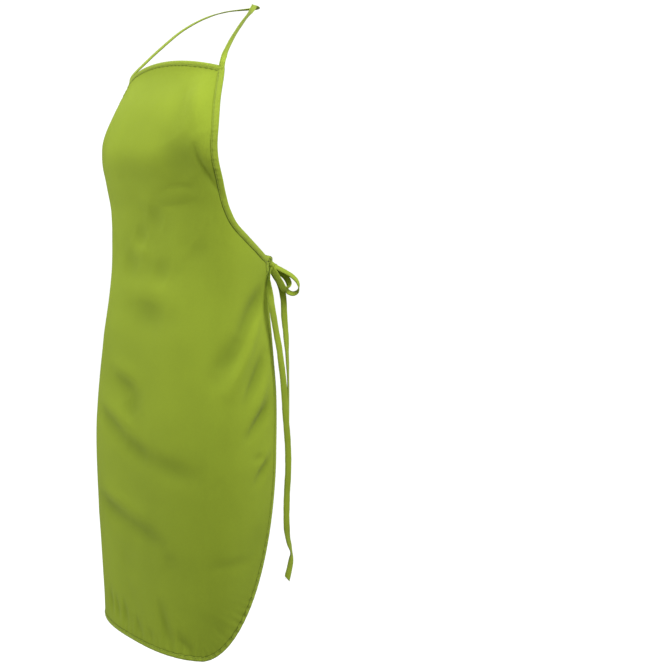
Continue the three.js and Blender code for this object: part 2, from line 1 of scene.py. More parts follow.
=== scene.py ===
"""A worn bib apron in lime cotton: one cloth panel, folded binding tape, a neck strap and a side bow.

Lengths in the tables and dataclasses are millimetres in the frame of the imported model, as in the
part's source, and become metres when a mesh is made. The front faces -Y and +X is the wearer's left.
"""

from __future__ import annotations

import logging
import math
from dataclasses import dataclass, field
from enum import Enum

import bmesh
import bpy
import numpy as np
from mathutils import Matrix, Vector
from mathutils.kdtree import KDTree

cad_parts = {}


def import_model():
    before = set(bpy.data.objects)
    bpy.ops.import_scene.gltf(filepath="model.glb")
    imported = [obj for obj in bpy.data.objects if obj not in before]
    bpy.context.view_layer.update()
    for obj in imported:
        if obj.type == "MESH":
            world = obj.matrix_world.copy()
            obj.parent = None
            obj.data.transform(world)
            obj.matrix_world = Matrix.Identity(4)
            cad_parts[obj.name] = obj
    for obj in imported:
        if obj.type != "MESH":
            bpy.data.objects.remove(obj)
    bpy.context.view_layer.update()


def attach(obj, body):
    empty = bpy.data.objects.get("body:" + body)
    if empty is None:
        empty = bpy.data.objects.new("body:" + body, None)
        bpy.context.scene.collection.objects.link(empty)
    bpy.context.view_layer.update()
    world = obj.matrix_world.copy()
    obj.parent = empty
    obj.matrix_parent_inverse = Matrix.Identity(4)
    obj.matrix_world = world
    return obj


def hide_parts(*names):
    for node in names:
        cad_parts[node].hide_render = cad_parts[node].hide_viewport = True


LOG = logging.getLogger("bib_apron")
MM = 0.001
UV_NAME = "cut"
# Vertex attributes for painted shade in creases and grooves, and for the painted shadow past the tapes' inner edges
# with its distance from the tape's edge
PAINTED_SHADE_NAME = "painted_shade"
GAP_NAME = "seam_gap"
SHADE_NAME = "seam_shade"
FACE_NAME = "face"


class Slot(Enum):
    """Names of the two material slots."""

    CLOTH = "cotton_cloth"
    TAPE = "cotton_tape"


class FoldShape(Enum):
    """How a fold rises across its width."""

    ROUND = "round"
    SHARP = "sharp"
    PLEAT = "pleat"


@dataclass(frozen=True)
class Fold:
    """A crease of the cloth between two places of the cut.

    x is the length across from the middle line and z the drop. rise is negative for a dent, and
    bow moves the middle of the crease aside.
    """

    x0: float
    z0: float
    x1: float
    z1: float
    width: float
    rise: float
    bow: float = 0.0
    shape: FoldShape = FoldShape.ROUND

    def height(self, across: np.ndarray, drop: np.ndarray) -> np.ndarray:
        """Gives the fold's height at places of the cut.

        Args:
            across: Lengths across from the middle line.
            drop: Drops below the bib's top.

        Returns:
            The heights, in millimetres.
        """
        run = np.array([self.x1 - self.x0, self.z1 - self.z0], float)
        length = float(np.hypot(*run))
        run /= length
        ahead = (across - self.x0) * run[0] + (drop - self.z0) * run[1]
        aside = (drop - self.z0) * run[0] - (across - self.x0) * run[1]
        share = np.clip(ahead / length, 0.0, 1.0)
        past = np.maximum(np.abs(ahead - share * length), 0.0)
        aside = aside - self.bow * 4.0 * share * (1.0 - share)
        swell = 0.35 + 0.65 * np.sin(np.pi * share)
        reach = np.exp(-((past / self.width) ** 2))
        ratio = aside / self.width
        if self.shape is FoldShape.SHARP:
            across_shape = np.exp(-np.sqrt(ratio**2 + 0.02) * 1.5)
        elif self.shape is FoldShape.PLEAT:
            across_shape = -1.6 * ratio * np.exp(-(ratio**2))
        else:
            across_shape = np.exp(-(ratio**2))
        return self.rise * swell * reach * across_shape


# ---------------------------------------------------------------- the body's form and the cut


@dataclass(frozen=True)
class WornSizes:
    """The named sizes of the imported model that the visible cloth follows."""

    cloth_drop: float = 840.0
    cloth_half: float = 268.0
    bib_half: float = 118.0
    top_arch: float = 16.0
    armhole_drop: float = 275.0
    corner_rise: float = 286.0
    corner_run: float = 134.0
    corner_curve: float = 1.74
    nape_above_bib: float = 93.0
    nape_behind_sides: float = 137.0
    hip_half: float = 163.0
    hip_front: float = 96.0
    back_depth: float = 162.0
    top_binding: float = 6.0
    armhole_binding: float = 8.0
    hem_binding: float = 6.0
    waist_share: float = 0.85
    skirt_share: float = 0.992


SIZES = WornSizes()

# drop, half, front, depth, square
SECTIONS = np.array(
    [
        (0.0, 0.93, 0.36, 0.75, 2.0),
        (0.025, 0.92, 0.44, 0.77, 2.0),
        (0.075, 0.9, 0.72, 0.886, 2.2),
        (0.124, 0.915, 0.9, 0.92, 2.4),
        (0.159, 0.9, 0.955, 0.99, 2.5),
        (0.204, 0.872, 0.86, 0.88, 2.5),
        (0.253, 0.85, 0.755, 0.755, 2.5),
        (0.341, 0.844, 0.735, 0.735, 2.6),
        (0.398, 0.85, 0.8, 0.8, 2.6),
        (0.467, 0.895, 0.88, 0.88, 2.6),
        (0.547, 0.963, 0.935, 0.935, 2.6),
        (0.628, 0.995, 0.99, 0.99, 2.6),
        (0.688, 1.0, 1.0, 1.0, 2.6),
        (0.784, 0.977, 0.985, 0.985, 2.6),
        (0.91, 0.917, 0.96, 0.96, 2.6),
        (1.0, 0.862, 0.96, 0.96, 2.6),
    ]
)
# along, out
ARMHOLE = np.array(
    [
        (0.0, 0.0),
        (0.08, 0.07),
        (0.16, 0.14),
        (0.31, 0.26),
        (0.42, 0.3),
        (0.54, 0.31),
        (0.68, 0.32),
        (0.74, 0.345),
        (0.81, 0.43),
        (0.875, 0.6),
        (0.94, 0.8),
        (1.0, 1.0),
    ]
)
SIDE = np.array(
    [
        (0.0, 0.85),
        (0.126, 0.87),
        (0.257, 0.888),
        (0.4, 0.925),
        (0.56, 0.957),
        (0.683, 0.978),
        (0.85, 0.99),
        (1.0, 0.992),
    ]
)

# Folds that the photograph shows, and their like on the side that it hides
FOLDS = (
    Fold(121, 128, 152, 198, 7, -6.5, shape=FoldShape.SHARP),
    Fold(134, 110, 156, 176, 10, 3.6),
    Fold(84, 112, 116, 160, 24, -4.4),
    Fold(88, 40, 122, 100, 15, 4.6),
    Fold(70, 30, 92, 96, 16, -1.8),
    Fold(-20, 138, 80, 146, 26, 1.2),
    Fold(55, 180, 112, 178, 5, -0.9, bow=-3),
    Fold(48, 200, 108, 197, 5, -0.8, bow=2),
    Fold(16, 211, 50, 227, 20, -2.3),
    Fold(0, 196, 40, 200, 13, 1.4),
    Fold(-18, 236, 10, 252, 18, -2.2),
    Fold(-46, 270, -14, 298, 20, -2.3),
    Fold(-24, 262, 20, 270, 12, 1.5),
    Fold(98, 256, 122, 276, 19, -1.5),
    Fold(28, 288, 60, 301, 19, -2.0),
    Fold(-10, 345, 62, 362, 22, -3.8),
    Fold(-40, 322, 60, 326, 16, 1.8),
    Fold(224, 316, 184, 382, 14, -6.0, bow=4),
    Fold(184, 382, 154, 430, 15, -4.4),
    Fold(214, 356, 176, 454, 11, 4.4),
    Fold(230, 410, 200, 464, 11, -5.5),
    Fold(216, 420, 188, 470, 6, 1.3),
    Fold(240, 440, 206, 500, 10, 3.4),
    Fold(247, 474, 212, 514, 10, -4.8),
    Fold(234, 486, 196, 530, 7, -1.2),
    Fold(249, 553, 224, 584, 8, -4.0),
    Fold(250, 540, 226, 566, 8, 1.8),
    Fold(218, 548, 241, 551, 5, -1.8),
    Fold(-58, 436, 10, 448, 14, 2.6),
    Fold(-54, 450, 14, 472, 14, -3.2),
    Fold(-8, 476, 14, 504, 20, -2.4),
    Fold(-92, 510, -10, 544, 15, -4.2, bow=-3),
    Fold(-10, 544, 44, 559, 14, -3.8),
    Fold(44, 559, 128, 572, 16, -2.8),
    Fold(-84, 492, 10, 522, 15, 2.4),
    Fold(-92, 645, 0, 664, 15, -3.8),
    Fold(0, 664, 66, 676, 14, -3.0),
    Fold(-88, 626, 28, 646, 15, 2.2),
    Fold(148, 700, 214, 694, 9, -1.1),
    Fold(80, 688, 90, 718, 13, -1.3),
    Fold(-66, 786, -60, 818, 6, -2.8),
    Fold(-46, 790, -38, 824, 5, -2.8),
    Fold(-22, 790, -14, 828, 6, -2.8),
    Fold(12, 806, 26, 836, 6, -2.6),
    Fold(42, 812, 50, 837, 5, -2.0),
    Fold(66, 770, 88, 838, 8, -3.0),
    Fold(98, 808, 120, 836, 7, -3.0),
    Fold(150, 780, 168, 806, 9, -1.0),
    Fold(-224, 316, -184, 384, 14, -4.6, bow=-4),
    Fold(-212, 366, -180, 450, 11, 3.0),
    Fold(-236, 430, -198, 500, 12, -3.8),
    Fold(-246, 500, -214, 544, 11, -2.4),
    Fold(-118, 122, -146, 188, 8, -2.2, shape=FoldShape.SHARP),
    Fold(-84, 110, -112, 150, 26, -1.6),
    Fold(-150, 640, -220, 620, 12, -1.6),
    Fold(-130, 770, -142, 812, 7, -1.4),
)


def read_table(rows: np.ndarray, at: np.ndarray | float, column: int) -> np.ndarray:
    """Reads a column between a table's rows, with slopes that run on through them.

    Args:
        rows: The table, with its positions in the first column.
        at: Where to read.
        column: Which column.

    Returns:
        The values.
    """
    place, value = rows[:, 0], rows[:, column]
    last = len(rows) - 1
    before, after = np.maximum(np.arange(last + 1) - 1, 0), np.minimum(np.arange(last + 1) + 1, last)
    slope = (value[after] - value[before]) / (place[after] - place[before])
    at = np.asarray(at, float)
    low = np.clip(np.searchsorted(place, at, side="right") - 1, 0, last - 1)
    span = place[low + 1] - place[low]
    t = np.clip((at - place[low]) / span, 0.0, 1.0)
    ease = t * t * (3.0 - 2.0 * t)
    bend = t * (1 - t) ** 2 * slope[low] - t * t * (1 - t) * slope[low + 1]
    return value[low] * (1 - ease) + value[low + 1] * ease + span * bend


def unit(vectors: np.ndarray) -> np.ndarray:
    """Returns the vectors at length 1."""
    return vectors / np.linalg.norm(vectors, axis=-1, keepdims=True)


class WornForm:
    """The smooth form that the cloth hangs on, read by the length across and the drop."""

    MARGIN = 4.0
    REACH = 2.0
    MOST_ACROSS = 420.0

    def __init__(self, sizes: WornSizes) -> None:
        """Fills the lookup tables of x and y, a millimetre apart both ways."""
        self.sizes = sizes
        self.levels = np.arange(-self.MARGIN, sizes.cloth_drop + self.MARGIN + 0.5)
        arcs = np.arange(0.0, self.MOST_ACROSS + 1.0)
        turn = np.linspace(0.0, math.pi, 1201)
        ahead = np.minimum(turn, math.pi / 2)
        beyond = np.maximum(turn - math.pi / 2, 0.0)
        self.x = np.empty((len(self.levels), len(arcs)))
        self.y = np.empty_like(self.x)
        for k, level in enumerate(self.levels):
            half, front, depth, square = (
                float(read_table(SECTIONS, level / sizes.cloth_drop, column)) for column in (1, 2, 3, 4)
            )
            half, front, depth = half * sizes.hip_half, front * sizes.hip_front, depth * sizes.hip_front
            power = 2.0 / square
            forward = np.clip(np.cos(ahead), 0.0, 1.0) ** power
            x = np.where(turn < math.pi / 2, half * np.sin(ahead) ** power, half * np.cos(beyond))
            y = -front + depth * (1 - forward) + sizes.back_depth * np.sin(beyond)
            arc = np.concatenate([[0.0], np.cumsum(np.hypot(np.diff(x), np.diff(y)))])
            self.x[k] = np.interp(arcs, arc, x)
            self.y[k] = np.interp(arcs, arc, y) - sizes.nape_behind_sides

    def point(self, across: np.ndarray, drop: np.ndarray) -> np.ndarray:
        """Gives places on the form.

        Args:
            across: Lengths along the cloth from its middle line.
            drop: Drops below the bib's top.

        Returns:
            The places, one row each.
        """
        across, drop = np.asarray(across, float), np.asarray(drop, float)
        i = np.clip(drop - self.levels[0], 0.0, len(self.levels) - 1.001)
        j = np.clip(np.abs(across), 0.0, self.x.shape[1] - 1.001)
        i0, j0 = i.astype(int), j.astype(int)
        fi, fj = i - i0, j - j0

        def between(table: np.ndarray) -> np.ndarray:
            """Reads a lookup table between its entries."""
            upper = table[i0, j0] * (1 - fj) + table[i0, j0 + 1] * fj
            lower = table[i0 + 1, j0] * (1 - fj) + table[i0 + 1, j0 + 1] * fj
            return upper * (1 - fi) + lower * fi

        side = np.where(across < 0, -1.0, 1.0)
        return np.stack([between(self.x) * side, between(self.y), -self.sizes.nape_above_bib - drop], axis=-1)

    def normal(self, across: np.ndarray, drop: np.ndarray) -> np.ndarray:
        """Gives the outward directions at places on the form."""
        reach = self.REACH
        along = self.point(across + reach, drop) - self.point(across - reach, drop)
        down = self.point(across, drop + reach) - self.point(across, drop - reach)
        return unit(np.cross(down, along))


def resample(points: np.ndarray, step: float) -> np.ndarray:
    """Spaces the points of a line evenly.

    Args:
        points: The line's points, one row each.
        step: About how far apart the new ones lie.

    Returns:
        The new points, with both ends kept.
    """
    arc = np.concatenate([[0.0], np.cumsum(np.linalg.norm(np.diff(points, axis=0), axis=1))])
    count = max(int(round(arc[-1] / step)), 1)
    at = np.linspace(0.0, arc[-1], count + 1)
    return np.stack([np.interp(at, arc, column) for column in points.T], axis=1)


class Cut:
    """The outline of the cut, with its runs in one direction round the panel."""

    SHARES = np.linspace(0.0, 1.0, 241)

    def __init__(self, sizes: WornSizes) -> None:
        """Makes the runs of the edge and the lookup of the nearest edge."""
        self.sizes = sizes
        self.skirt_half = sizes.cloth_half * sizes.skirt_share
        self.flat_half = self.skirt_half - sizes.corner_run
        armhole, side, corner = (make(self.SHARES) for make in (self.armhole, self.side, self.corner))
        middle = np.linspace(-1.0, 1.0, 161)
        self.top_run = np.stack([sizes.bib_half * middle, sizes.top_arch * middle**2], axis=1)
        self.armhole_left = armhole
        self.armhole_right = self.mirrored(armhole)
        hem = np.stack([np.linspace(self.flat_half, -self.flat_half, 161), np.full(161, sizes.cloth_drop)], axis=1)
        half = np.concatenate([side, corner[1:]])
        self.skirt_run = np.concatenate([half, hem[1:-1], self.mirrored(half)])
        loop = np.concatenate([self.top_run, armhole[1:], self.skirt_run[1:], self.armhole_right[1:-1]])
        self.loop = resample(np.concatenate([loop, loop[:1]]), 1.0)
        self.tree = KDTree(len(self.loop))
        for k, (across, drop) in enumerate(self.loop):
            self.tree.insert((across, drop, 0.0), k)
        self.tree.balance()

    @staticmethod
    def mirrored(run: np.ndarray) -> np.ndarray:
        """Returns the run on the other side, in the direction that goes on round the panel."""
        return (run * np.array([-1.0, 1.0]))[::-1]

    def armhole(self, share: np.ndarray) -> np.ndarray:
        """Returns places of the armhole's edge, from the bib's corner to the waist corner."""
        sizes = self.sizes
        waist = sizes.cloth_half * sizes.waist_share
        across = sizes.bib_half + (waist - sizes.bib_half) * read_table(ARMHOLE, share, 1)
        drop = sizes.top_arch + (sizes.armhole_drop - sizes.top_arch) * share
        return np.stack([across, drop], axis=-1)

    def side(self, share: np.ndarray) -> np.ndarray:
        """Returns places of the side's edge, from the waist corner to the round corner."""
        sizes = self.sizes
        end = sizes.cloth_drop - sizes.corner_rise
        across = sizes.cloth_half * read_table(SIDE, share, 1)
        return np.stack([across, sizes.armhole_drop + (end - sizes.armhole_drop) * share], axis=-1)

    def corner(self, share: np.ndarray) -> np.ndarray:
        """Returns places of the round hem corner, from the side to the flat hem."""
        sizes = self.sizes
        turn, power = share * math.pi / 2, 2.0 / sizes.corner_curve
        across = self.skirt_half - sizes.corner_run * (1 - np.clip(np.cos(turn), 0, 1) ** power)
        drop = sizes.cloth_drop - sizes.corner_rise * (1 - np.sin(turn) ** power)
        return np.stack([across, drop], axis=-1)

    def nearest(self, across: np.ndarray, drop: np.ndarray) -> tuple[np.ndarray, np.ndarray]:
        """Finds how far places of the cut lie from its edge.

        Args:
            across: Lengths across from the middle line.
            drop: Drops below the bib's top.

        Returns:
            The distances, and the lengths along the edge to the nearest places of it.
        """
        found = [self.tree.find((a, d, 0.0)) for a, d in zip(across.ravel(), drop.ravel())]
        distance = np.array([hit[2] for hit in found]).reshape(across.shape)
        along = np.array([hit[1] for hit in found], float).reshape(across.shape)
        return distance, along


class Cloth:
    """The worn surface of the cloth: the form with its folds, dents and gathers."""

    DENTS = 110
    DENT_SEED = 7
    EDGE_FADE = 30.0
    EDGE_KEEP = 0.3

    def __init__(self, form: WornForm, cut: Cut) -> None:
        """Draws the small dents, with a fixed seed."""
        self.form, self.cut = form, cut
        draw = np.random.default_rng(self.DENT_SEED)
        sizes = form.sizes
        dents = []
        for _ in range(self.DENTS):
            x, z = draw.uniform(-sizes.cloth_half, sizes.cloth_half), draw.uniform(0, sizes.cloth_drop)
            turn, length = draw.uniform(-0.7, 0.7), draw.uniform(12, 46)
            dx, dz = math.cos(turn) * length / 2, math.sin(turn) * length / 2
            dents.append(Fold(x - dx, z - dz, x + dx, z + dz, draw.uniform(12, 26), draw.uniform(-0.5, 0.5)))
        self.folds = FOLDS + tuple(dents)
        self.waves = draw.uniform(0, 2 * math.pi, 12)

    def rise(self, across: np.ndarray, drop: np.ndarray) -> np.ndarray:
        """Gives the height of folds, dents and gathers over the form.

        Args:
            across: Lengths across from the middle line.
            drop: Drops below the bib's top.

        Returns:
            The heights, in millimetres.
        """
        distance, along = self.cut.nearest(across, drop)
        total = sum(fold.height(across, drop) for fold in self.folds)
        share = np.clip(distance / self.EDGE_FADE, 0.0, 1.0)
        total = total * (self.EDGE_KEEP + (1 - self.EDGE_KEEP) * share * share * (3 - 2 * share))
        away = np.maximum(distance - self.form.sizes.hem_binding, 0.0)
        slow = 0.5 + 0.5 * np.sin(along / 47.0 + self.waves[0]) * np.sin(along / 31.0 + self.waves[1])
        wander = 1.3 * np.sin(along / 23.0 + self.waves[2]) + 0.9 * np.sin(along / 14.0 + self.waves[3])
        low = np.clip((drop - 600.0) / 150.0, 0.0, 1.0)
        gather = (0.25 + 0.75 * low) * slow * np.sin(2 * math.pi * along / 12.5 + wander) * np.exp(-away / (8 + 14 * low))
        pucker = 0.22 * np.sin(2 * math.pi * along / 6.3 + 1.7 * wander) * np.exp(-away / 5.0)
        held = np.clip(distance / 4.0, 0.0, 1.0)
        return total + (gather + pucker) * held

    def seam_shadow(self, across: np.ndarray, drop: np.ndarray) -> tuple[np.ndarray, np.ndarray]:
        """Gives how far places lie past the edge of the tape, and how strong the painted shadow under the tape's inner
        edge is there.

        Args:
            across: Lengths across from the middle line.
            drop: Drops below the bib's top.

        Returns:
            The gaps in millimetres, and the painted shadow's strengths from 0 to 1.
        """
        distance, along = self.cut.nearest(across, drop)
        edge = self.cut.loop[along.astype(int)]
        sizes = self.form.sizes
        on_top = (np.abs(edge[..., 0]) < sizes.bib_half - 0.5) & (edge[..., 1] < sizes.top_arch + 0.5)
        on_armhole = ~on_top & (edge[..., 1] < sizes.armhole_drop)
        width = np.where(on_armhole, sizes.armhole_binding, np.where(on_top, sizes.top_binding, sizes.hem_binding))
        # Painted shadow under the tape's edge: in dashes below the top tape, weaker near the armhole's top, and weaker
        # along the sides than at the hem
        dashes = np.clip(0.62 + 0.5 * np.sin(2 * math.pi * along / 8.7 + 1.6 * np.sin(along / 13.0)), 0.0, 1.0)
        low = np.clip((edge[..., 1] - 80.0) / 80.0, 0.25, 1.0)
        hem = np.clip((edge[..., 1] - 640.0) / 140.0, 0.18, 1.0) * (0.45 + 0.45 * dashes)
        shade = np.where(on_top, 0.9 * dashes, np.where(on_armhole, 1.0 * low, hem))
        return distance - width, shade

    def surface(self, across: np.ndarray, drop: np.ndarray) -> tuple[np.ndarray, np.ndarray, np.ndarray]:
        """Gives places on the worn cloth, the outward directions there and the heights of the folds."""
        rise = self.rise(across, drop)
        normal = self.form.normal(across, drop)
        return self.form.point(across, drop) + normal * rise[..., None], normal, rise


# ---------------------------------------------------------------- finishes


class NodeBoard:
    """A small helper that adds and links shader nodes."""

    def __init__(self, tree: bpy.types.NodeTree) -> None:
        """Takes the tree to work on."""
        self.tree = tree

    def add(self, kind: str, settings: dict | None = None, inputs: dict | None = None) -> bpy.types.Node:
        """Adds a node.

        Args:
            kind: The node's type name.
            settings: Attributes of the node.
            inputs: Values or sockets for its inputs, by name or number.

        Returns:
            The new node.
        """
        node = self.tree.nodes.new(kind)
        for name, value in (settings or {}).items():
            setattr(node, name, value)
        for key, value in (inputs or {}).items():
            if isinstance(value, bpy.types.NodeSocket):
                self.tree.links.new(value, node.inputs[key])
            else:
                node.inputs[key].default_value = value
        return node

    def math(self, operation: str, *values: float | bpy.types.NodeSocket) -> bpy.types.NodeSocket:
        """Adds a Math node and returns its output."""
        return self.add("ShaderNodeMath", {"operation": operation}, dict(enumerate(values))).outputs[0]

    def mix(self, share: object, first: object, second: object) -> bpy.types.NodeSocket:
        """Adds a colour Mix node and returns its output."""
        node = self.add("ShaderNodeMix", {"data_type": "RGBA"}, {0: share, 6: first, 7: second})
        return node.outputs[2]


def linear(red: int, green: int, blue: int) -> tuple[float, float, float, float]:
    """Returns an sRGB colour of 0 to 255 as linear values with alpha."""
    steps = [value / 255.0 for value in (red, green, blue)]
    return (*(s / 12.92 if s <= 0.04045 else ((s + 0.055) / 1.055) ** 2.4 for s in steps), 1.0)


@dataclass(frozen=True)
class WovenFinish:
    """Woven cotton that reads its threads from the piece's own UV map in metres."""

    name: str
    light: tuple[float, float, float, float]
    deep: tuple[float, float, float, float]
    # the dark colour of the painted shade
    painted_shade_colour: tuple[float, float, float, float]
    pitch: float
    weave_depth: float
    slub: float
    roughness: float = 0.86
    sheen: float = 0.06
    seam_reach: float = 2.0

    def build(self) -> bpy.types.Material:
        """Builds the material.

        Returns:
            The material, with weave, slubs, mottling, and painted shade in dents, creases and grooves and just past
            the tapes' inner edges.
        """
        material = bpy.data.materials.new(self.name)
        material.use_nodes = True
        tree = material.node_tree
        board = NodeBoard(tree)
        shader = tree.nodes["Principled BSDF"]
        uv = board.add("ShaderNodeUVMap", {"uv_map": UV_NAME}).outputs[0]
        parts = board.add("ShaderNodeSeparateXYZ", None, {0: uv})
        turns = 2 * math.pi / (self.pitch * MM)
        warp = board.math("SINE", board.math("MULTIPLY", parts.outputs[0], turns))
        weft = board.math("SINE", board.math("MULTIPLY", parts.outputs[1], turns))
        weave = board.math("MULTIPLY", warp, weft)
        stretched = board.add("ShaderNodeMapping", None, {0: uv, "Scale": (260.0, 2600.0, 1.0)}).outputs[0]
        slubs = board.add("ShaderNodeTexNoise", None, {"Vector": stretched, "Scale": 1.0, "Detail": 2.0}).outputs[0]
        place = board.add("ShaderNodeTexCoord").outputs["Object"]
        cloud = board.add("ShaderNodeTexNoise", None, {"Vector": place, "Scale": 9.0, "Detail": 3.0}).outputs[0]
        grain = board.add("ShaderNodeTexNoise", None, {"Vector": place, "Scale": 420.0, "Detail": 2.0}).outputs[0]
        mottle = board.add(
            "ShaderNodeMapRange", None, {0: board.math("ADD", cloud, board.math("MULTIPLY", grain, 0.35)), 1: 0.45, 2: 0.95}
        ).outputs[0]
        cloth = board.mix(mottle, self.light, self.deep)
        thread = board.math("MULTIPLY_ADD", board.math("ADD", weave, board.math("MULTIPLY", slubs, self.slub)), 0.09, 0.04)
        cloth = board.mix(board.math("MAXIMUM", thread, 0.0), cloth, self.light)
        # Painted shade: the colour darkens in dents, creases and grooves, and in a painted shadow just past the tapes'
        # inner edges
        painted_shade = board.add("ShaderNodeAttribute", {"attribute_name": PAINTED_SHADE_NAME}).outputs["Fac"]
        gap = board.add("ShaderNodeAttribute", {"attribute_name": GAP_NAME}).outputs["Fac"]
        shade = board.add("ShaderNodeAttribute", {"attribute_name": SHADE_NAME}).outputs["Fac"]
        near = board.add(
            "ShaderNodeMapRange", {"interpolation_type": "SMOOTHSTEP"}, {0: gap, 1: 0.3, 2: self.seam_reach, 3: 1.0, 4: 0.0}
        ).outputs[0]
        cloth = board.mix(board.math("MAXIMUM", painted_shade, board.math("MULTIPLY", near, shade)), cloth, self.painted_shade_colour)
        tree.links.new(cloth, shader.inputs["Base Color"])
        height = board.math("ADD", weave, board.math("MULTIPLY", slubs, 2.0 * self.slub))
        bump = board.add(
            "ShaderNodeBump", None, {"Strength": 0.55, "Distance": self.weave_depth * MM, "Height": height}
        ).outputs[0]
        tree.links.new(bump, shader.inputs["Normal"])
        rough = board.add("ShaderNodeMapRange", None, {0: slubs, 3: self.roughness - 0.05, 4: self.roughness + 0.05})
        tree.links.new(rough.outputs[0], shader.inputs["Roughness"])
        shader.inputs["Sheen Weight"].default_value = self.sheen
        shader.inputs["Sheen Roughness"].default_value = 0.45
        shader.inputs["Specular IOR Level"].default_value = 0.18
        return material


@dataclass(frozen=True)
class ThreadFinish:
    """Twisted sewing thread."""

    name: str
    light: tuple[float, float, float, float]
    deep: tuple[float, float, float, float]

    def build(self) -> bpy.types.Material:
        """Returns the material, with a fine twist and a slight gloss."""
        material = bpy.data.materials.new(self.name)
        material.use_nodes = True
        board = NodeBoard(material.node_tree)
        shader = material.node_tree.nodes["Principled BSDF"]
        place = board.add("ShaderNodeTexCoord").outputs["Object"]
        twist = board.add(
            "ShaderNodeTexWave", {"bands_direction": "DIAGONAL"}, {"Vector": place, "Scale": 1500.0, "Distortion": 1.0}
        ).outputs["Fac"]
        material.node_tree.links.new(board.mix(twist, self.deep, self.light), shader.inputs["Base Color"])
        bump = board.add("ShaderNodeBump", None, {"Strength": 0.4, "Distance": 0.05 * MM, "Height": twist}).outputs[0]
        material.node_tree.links.new(bump, shader.inputs["Normal"])
        shader.inputs["Roughness"].default_value = 0.62
        shader.inputs["Sheen Weight"].default_value = 0.15
        return material


@dataclass(frozen=True)
class FloorFinish:
    """The pale studio floor."""

    name: str = "studio_floor"
    glow: float = 0.85

    def build(self) -> bpy.types.Material:
        """Returns the material, a matt white with a faint grain that holds its brightness."""
        material = bpy.data.materials.new(self.name)
        material.use_nodes = True
        board = NodeBoard(material.node_tree)
        shader = material.node_tree.nodes["Principled BSDF"]
        place = board.add("ShaderNodeTexCoord").outputs["Object"]
        grain = board.add("ShaderNodeTexNoise", None, {"Vector": place, "Scale": 3.0}).outputs[0]
        paint = board.mix(grain, (0.42, 0.42, 0.42, 1.0), (0.46, 0.46, 0.46, 1.0))
        material.node_tree.links.new(paint, shader.inputs["Base Color"])
        shader.inputs["Roughness"].default_value = 0.9
        shader.inputs["Emission Color"].default_value = (1.0, 1.0, 1.0, 1.0)
        seen = board.add("ShaderNodeLightPath").outputs["Is Camera Ray"]
        glow = board.math("MULTIPLY", seen, self.glow)
        material.node_tree.links.new(glow, shader.inputs["Emission Strength"])
        return material


@dataclass
class Finishes:
    """The finishes of the apron, each built once."""

    cloth: bpy.types.Material = field(
        default_factory=lambda: WovenFinish(
            "lime_cotton", linear(162, 184, 52), linear(150, 171, 48), linear(90, 107, 30), 0.5, 0.09, 0.5
        ).build()
    )
    tape: bpy.types.Material = field(
        default_factory=lambda: WovenFinish(
            "lime_tape", linear(164, 186, 56), linear(153, 174, 51), linear(90, 107, 30), 0.42, 0.08, 0.4, 0.82, 0.16
        ).build()
    )
    thread: bpy.types.Material = field(
        default_factory=lambda: ThreadFinish("lime_thread", linear(162, 184, 66), linear(128, 148, 46)).build()
    )


# ---------------------------------------------------------------- meshes


def make_piece(
    name: str,
    vertices: np.ndarray,
    faces: list[tuple[int, ...]],
    material: bpy.types.Material,
    uv: np.ndarray | None = None,
    marks: dict[str, np.ndarray] | None = None,
) -> bpy.types.Object:
    """Makes a closed, smooth piece from vertices in millimetres.

    Args:
        name: The piece's name.
        vertices: One row each.
        faces: Vertex numbers of each face.
        material: Its finish.
        uv: A place in metres on the cloth for each vertex.
        marks: Values for each vertex that the finish reads as painted shade, by attribute name.

    Returns:
        The object, at the origin.
    """
    mesh = bpy.data.meshes.new(name)
    mesh.from_pydata((vertices * MM).tolist(), [], faces)
    if uv is not None:
        layer = mesh.uv_layers.new(name=UV_NAME)
        corners = np.empty(len(mesh.loops), dtype=np.int32)
        mesh.loops.foreach_get("vertex_index", corners)
        layer.data.foreach_set("uv", uv[corners].astype(np.float32).ravel())
    for mark, values in (marks or {}).items():
        mesh.attributes.new(mark, "FLOAT", "POINT").data.foreach_set("value", values.astype(np.float32))
    mesh.materials.append(material)
    shape = bmesh.new()
    shape.from_mesh(mesh)
    bmesh.ops.recalc_face_normals(shape, faces=shape.faces[:])
    shape.to_mesh(mesh)
    shape.free()
    mesh.polygons.foreach_set("use_smooth", np.ones(len(mesh.polygons), dtype=bool))
    piece = bpy.data.objects.new(name, mesh)
    bpy.context.scene.collection.objects.link(piece)
    return piece


def settle(piece: bpy.types.Object, slot: Slot, *nodes: str) -> bpy.types.Object:
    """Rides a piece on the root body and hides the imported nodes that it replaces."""
    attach(piece, "root")
    if nodes:
        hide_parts(*nodes)
    LOG.info("%s: %d faces", piece.name, len(piece.data.polygons))
    return piece


def loft_faces(rings: int, count: int, caps: bool, closed: bool = False) -> list[tuple[int, ...]]:
    """Lists the faces through rings of as many points each.

    Args:
        rings: How many rings.
        count: Points in each, the first half facing the second.
        caps: Whether strips close the ends.
        closed: Whether the last ring joins the first.

    Returns:
        The faces.
    """
    faces: list[tuple[int, ...]] = []
    for k in range(rings if closed else rings - 1):
        low, high = k * count, ((k + 1) % rings) * count
        faces += [(low + i, low + (i + 1) % count, high + (i + 1) % count, high + i) for i in range(count)]
    if caps and not closed:
        for start in (0, (rings - 1) * count):
            pairs = range(count // 2 - 1)
            faces += [(start + i, start + i + 1, start + count - 2 - i, start + count - 1 - i) for i in pairs]
    return faces


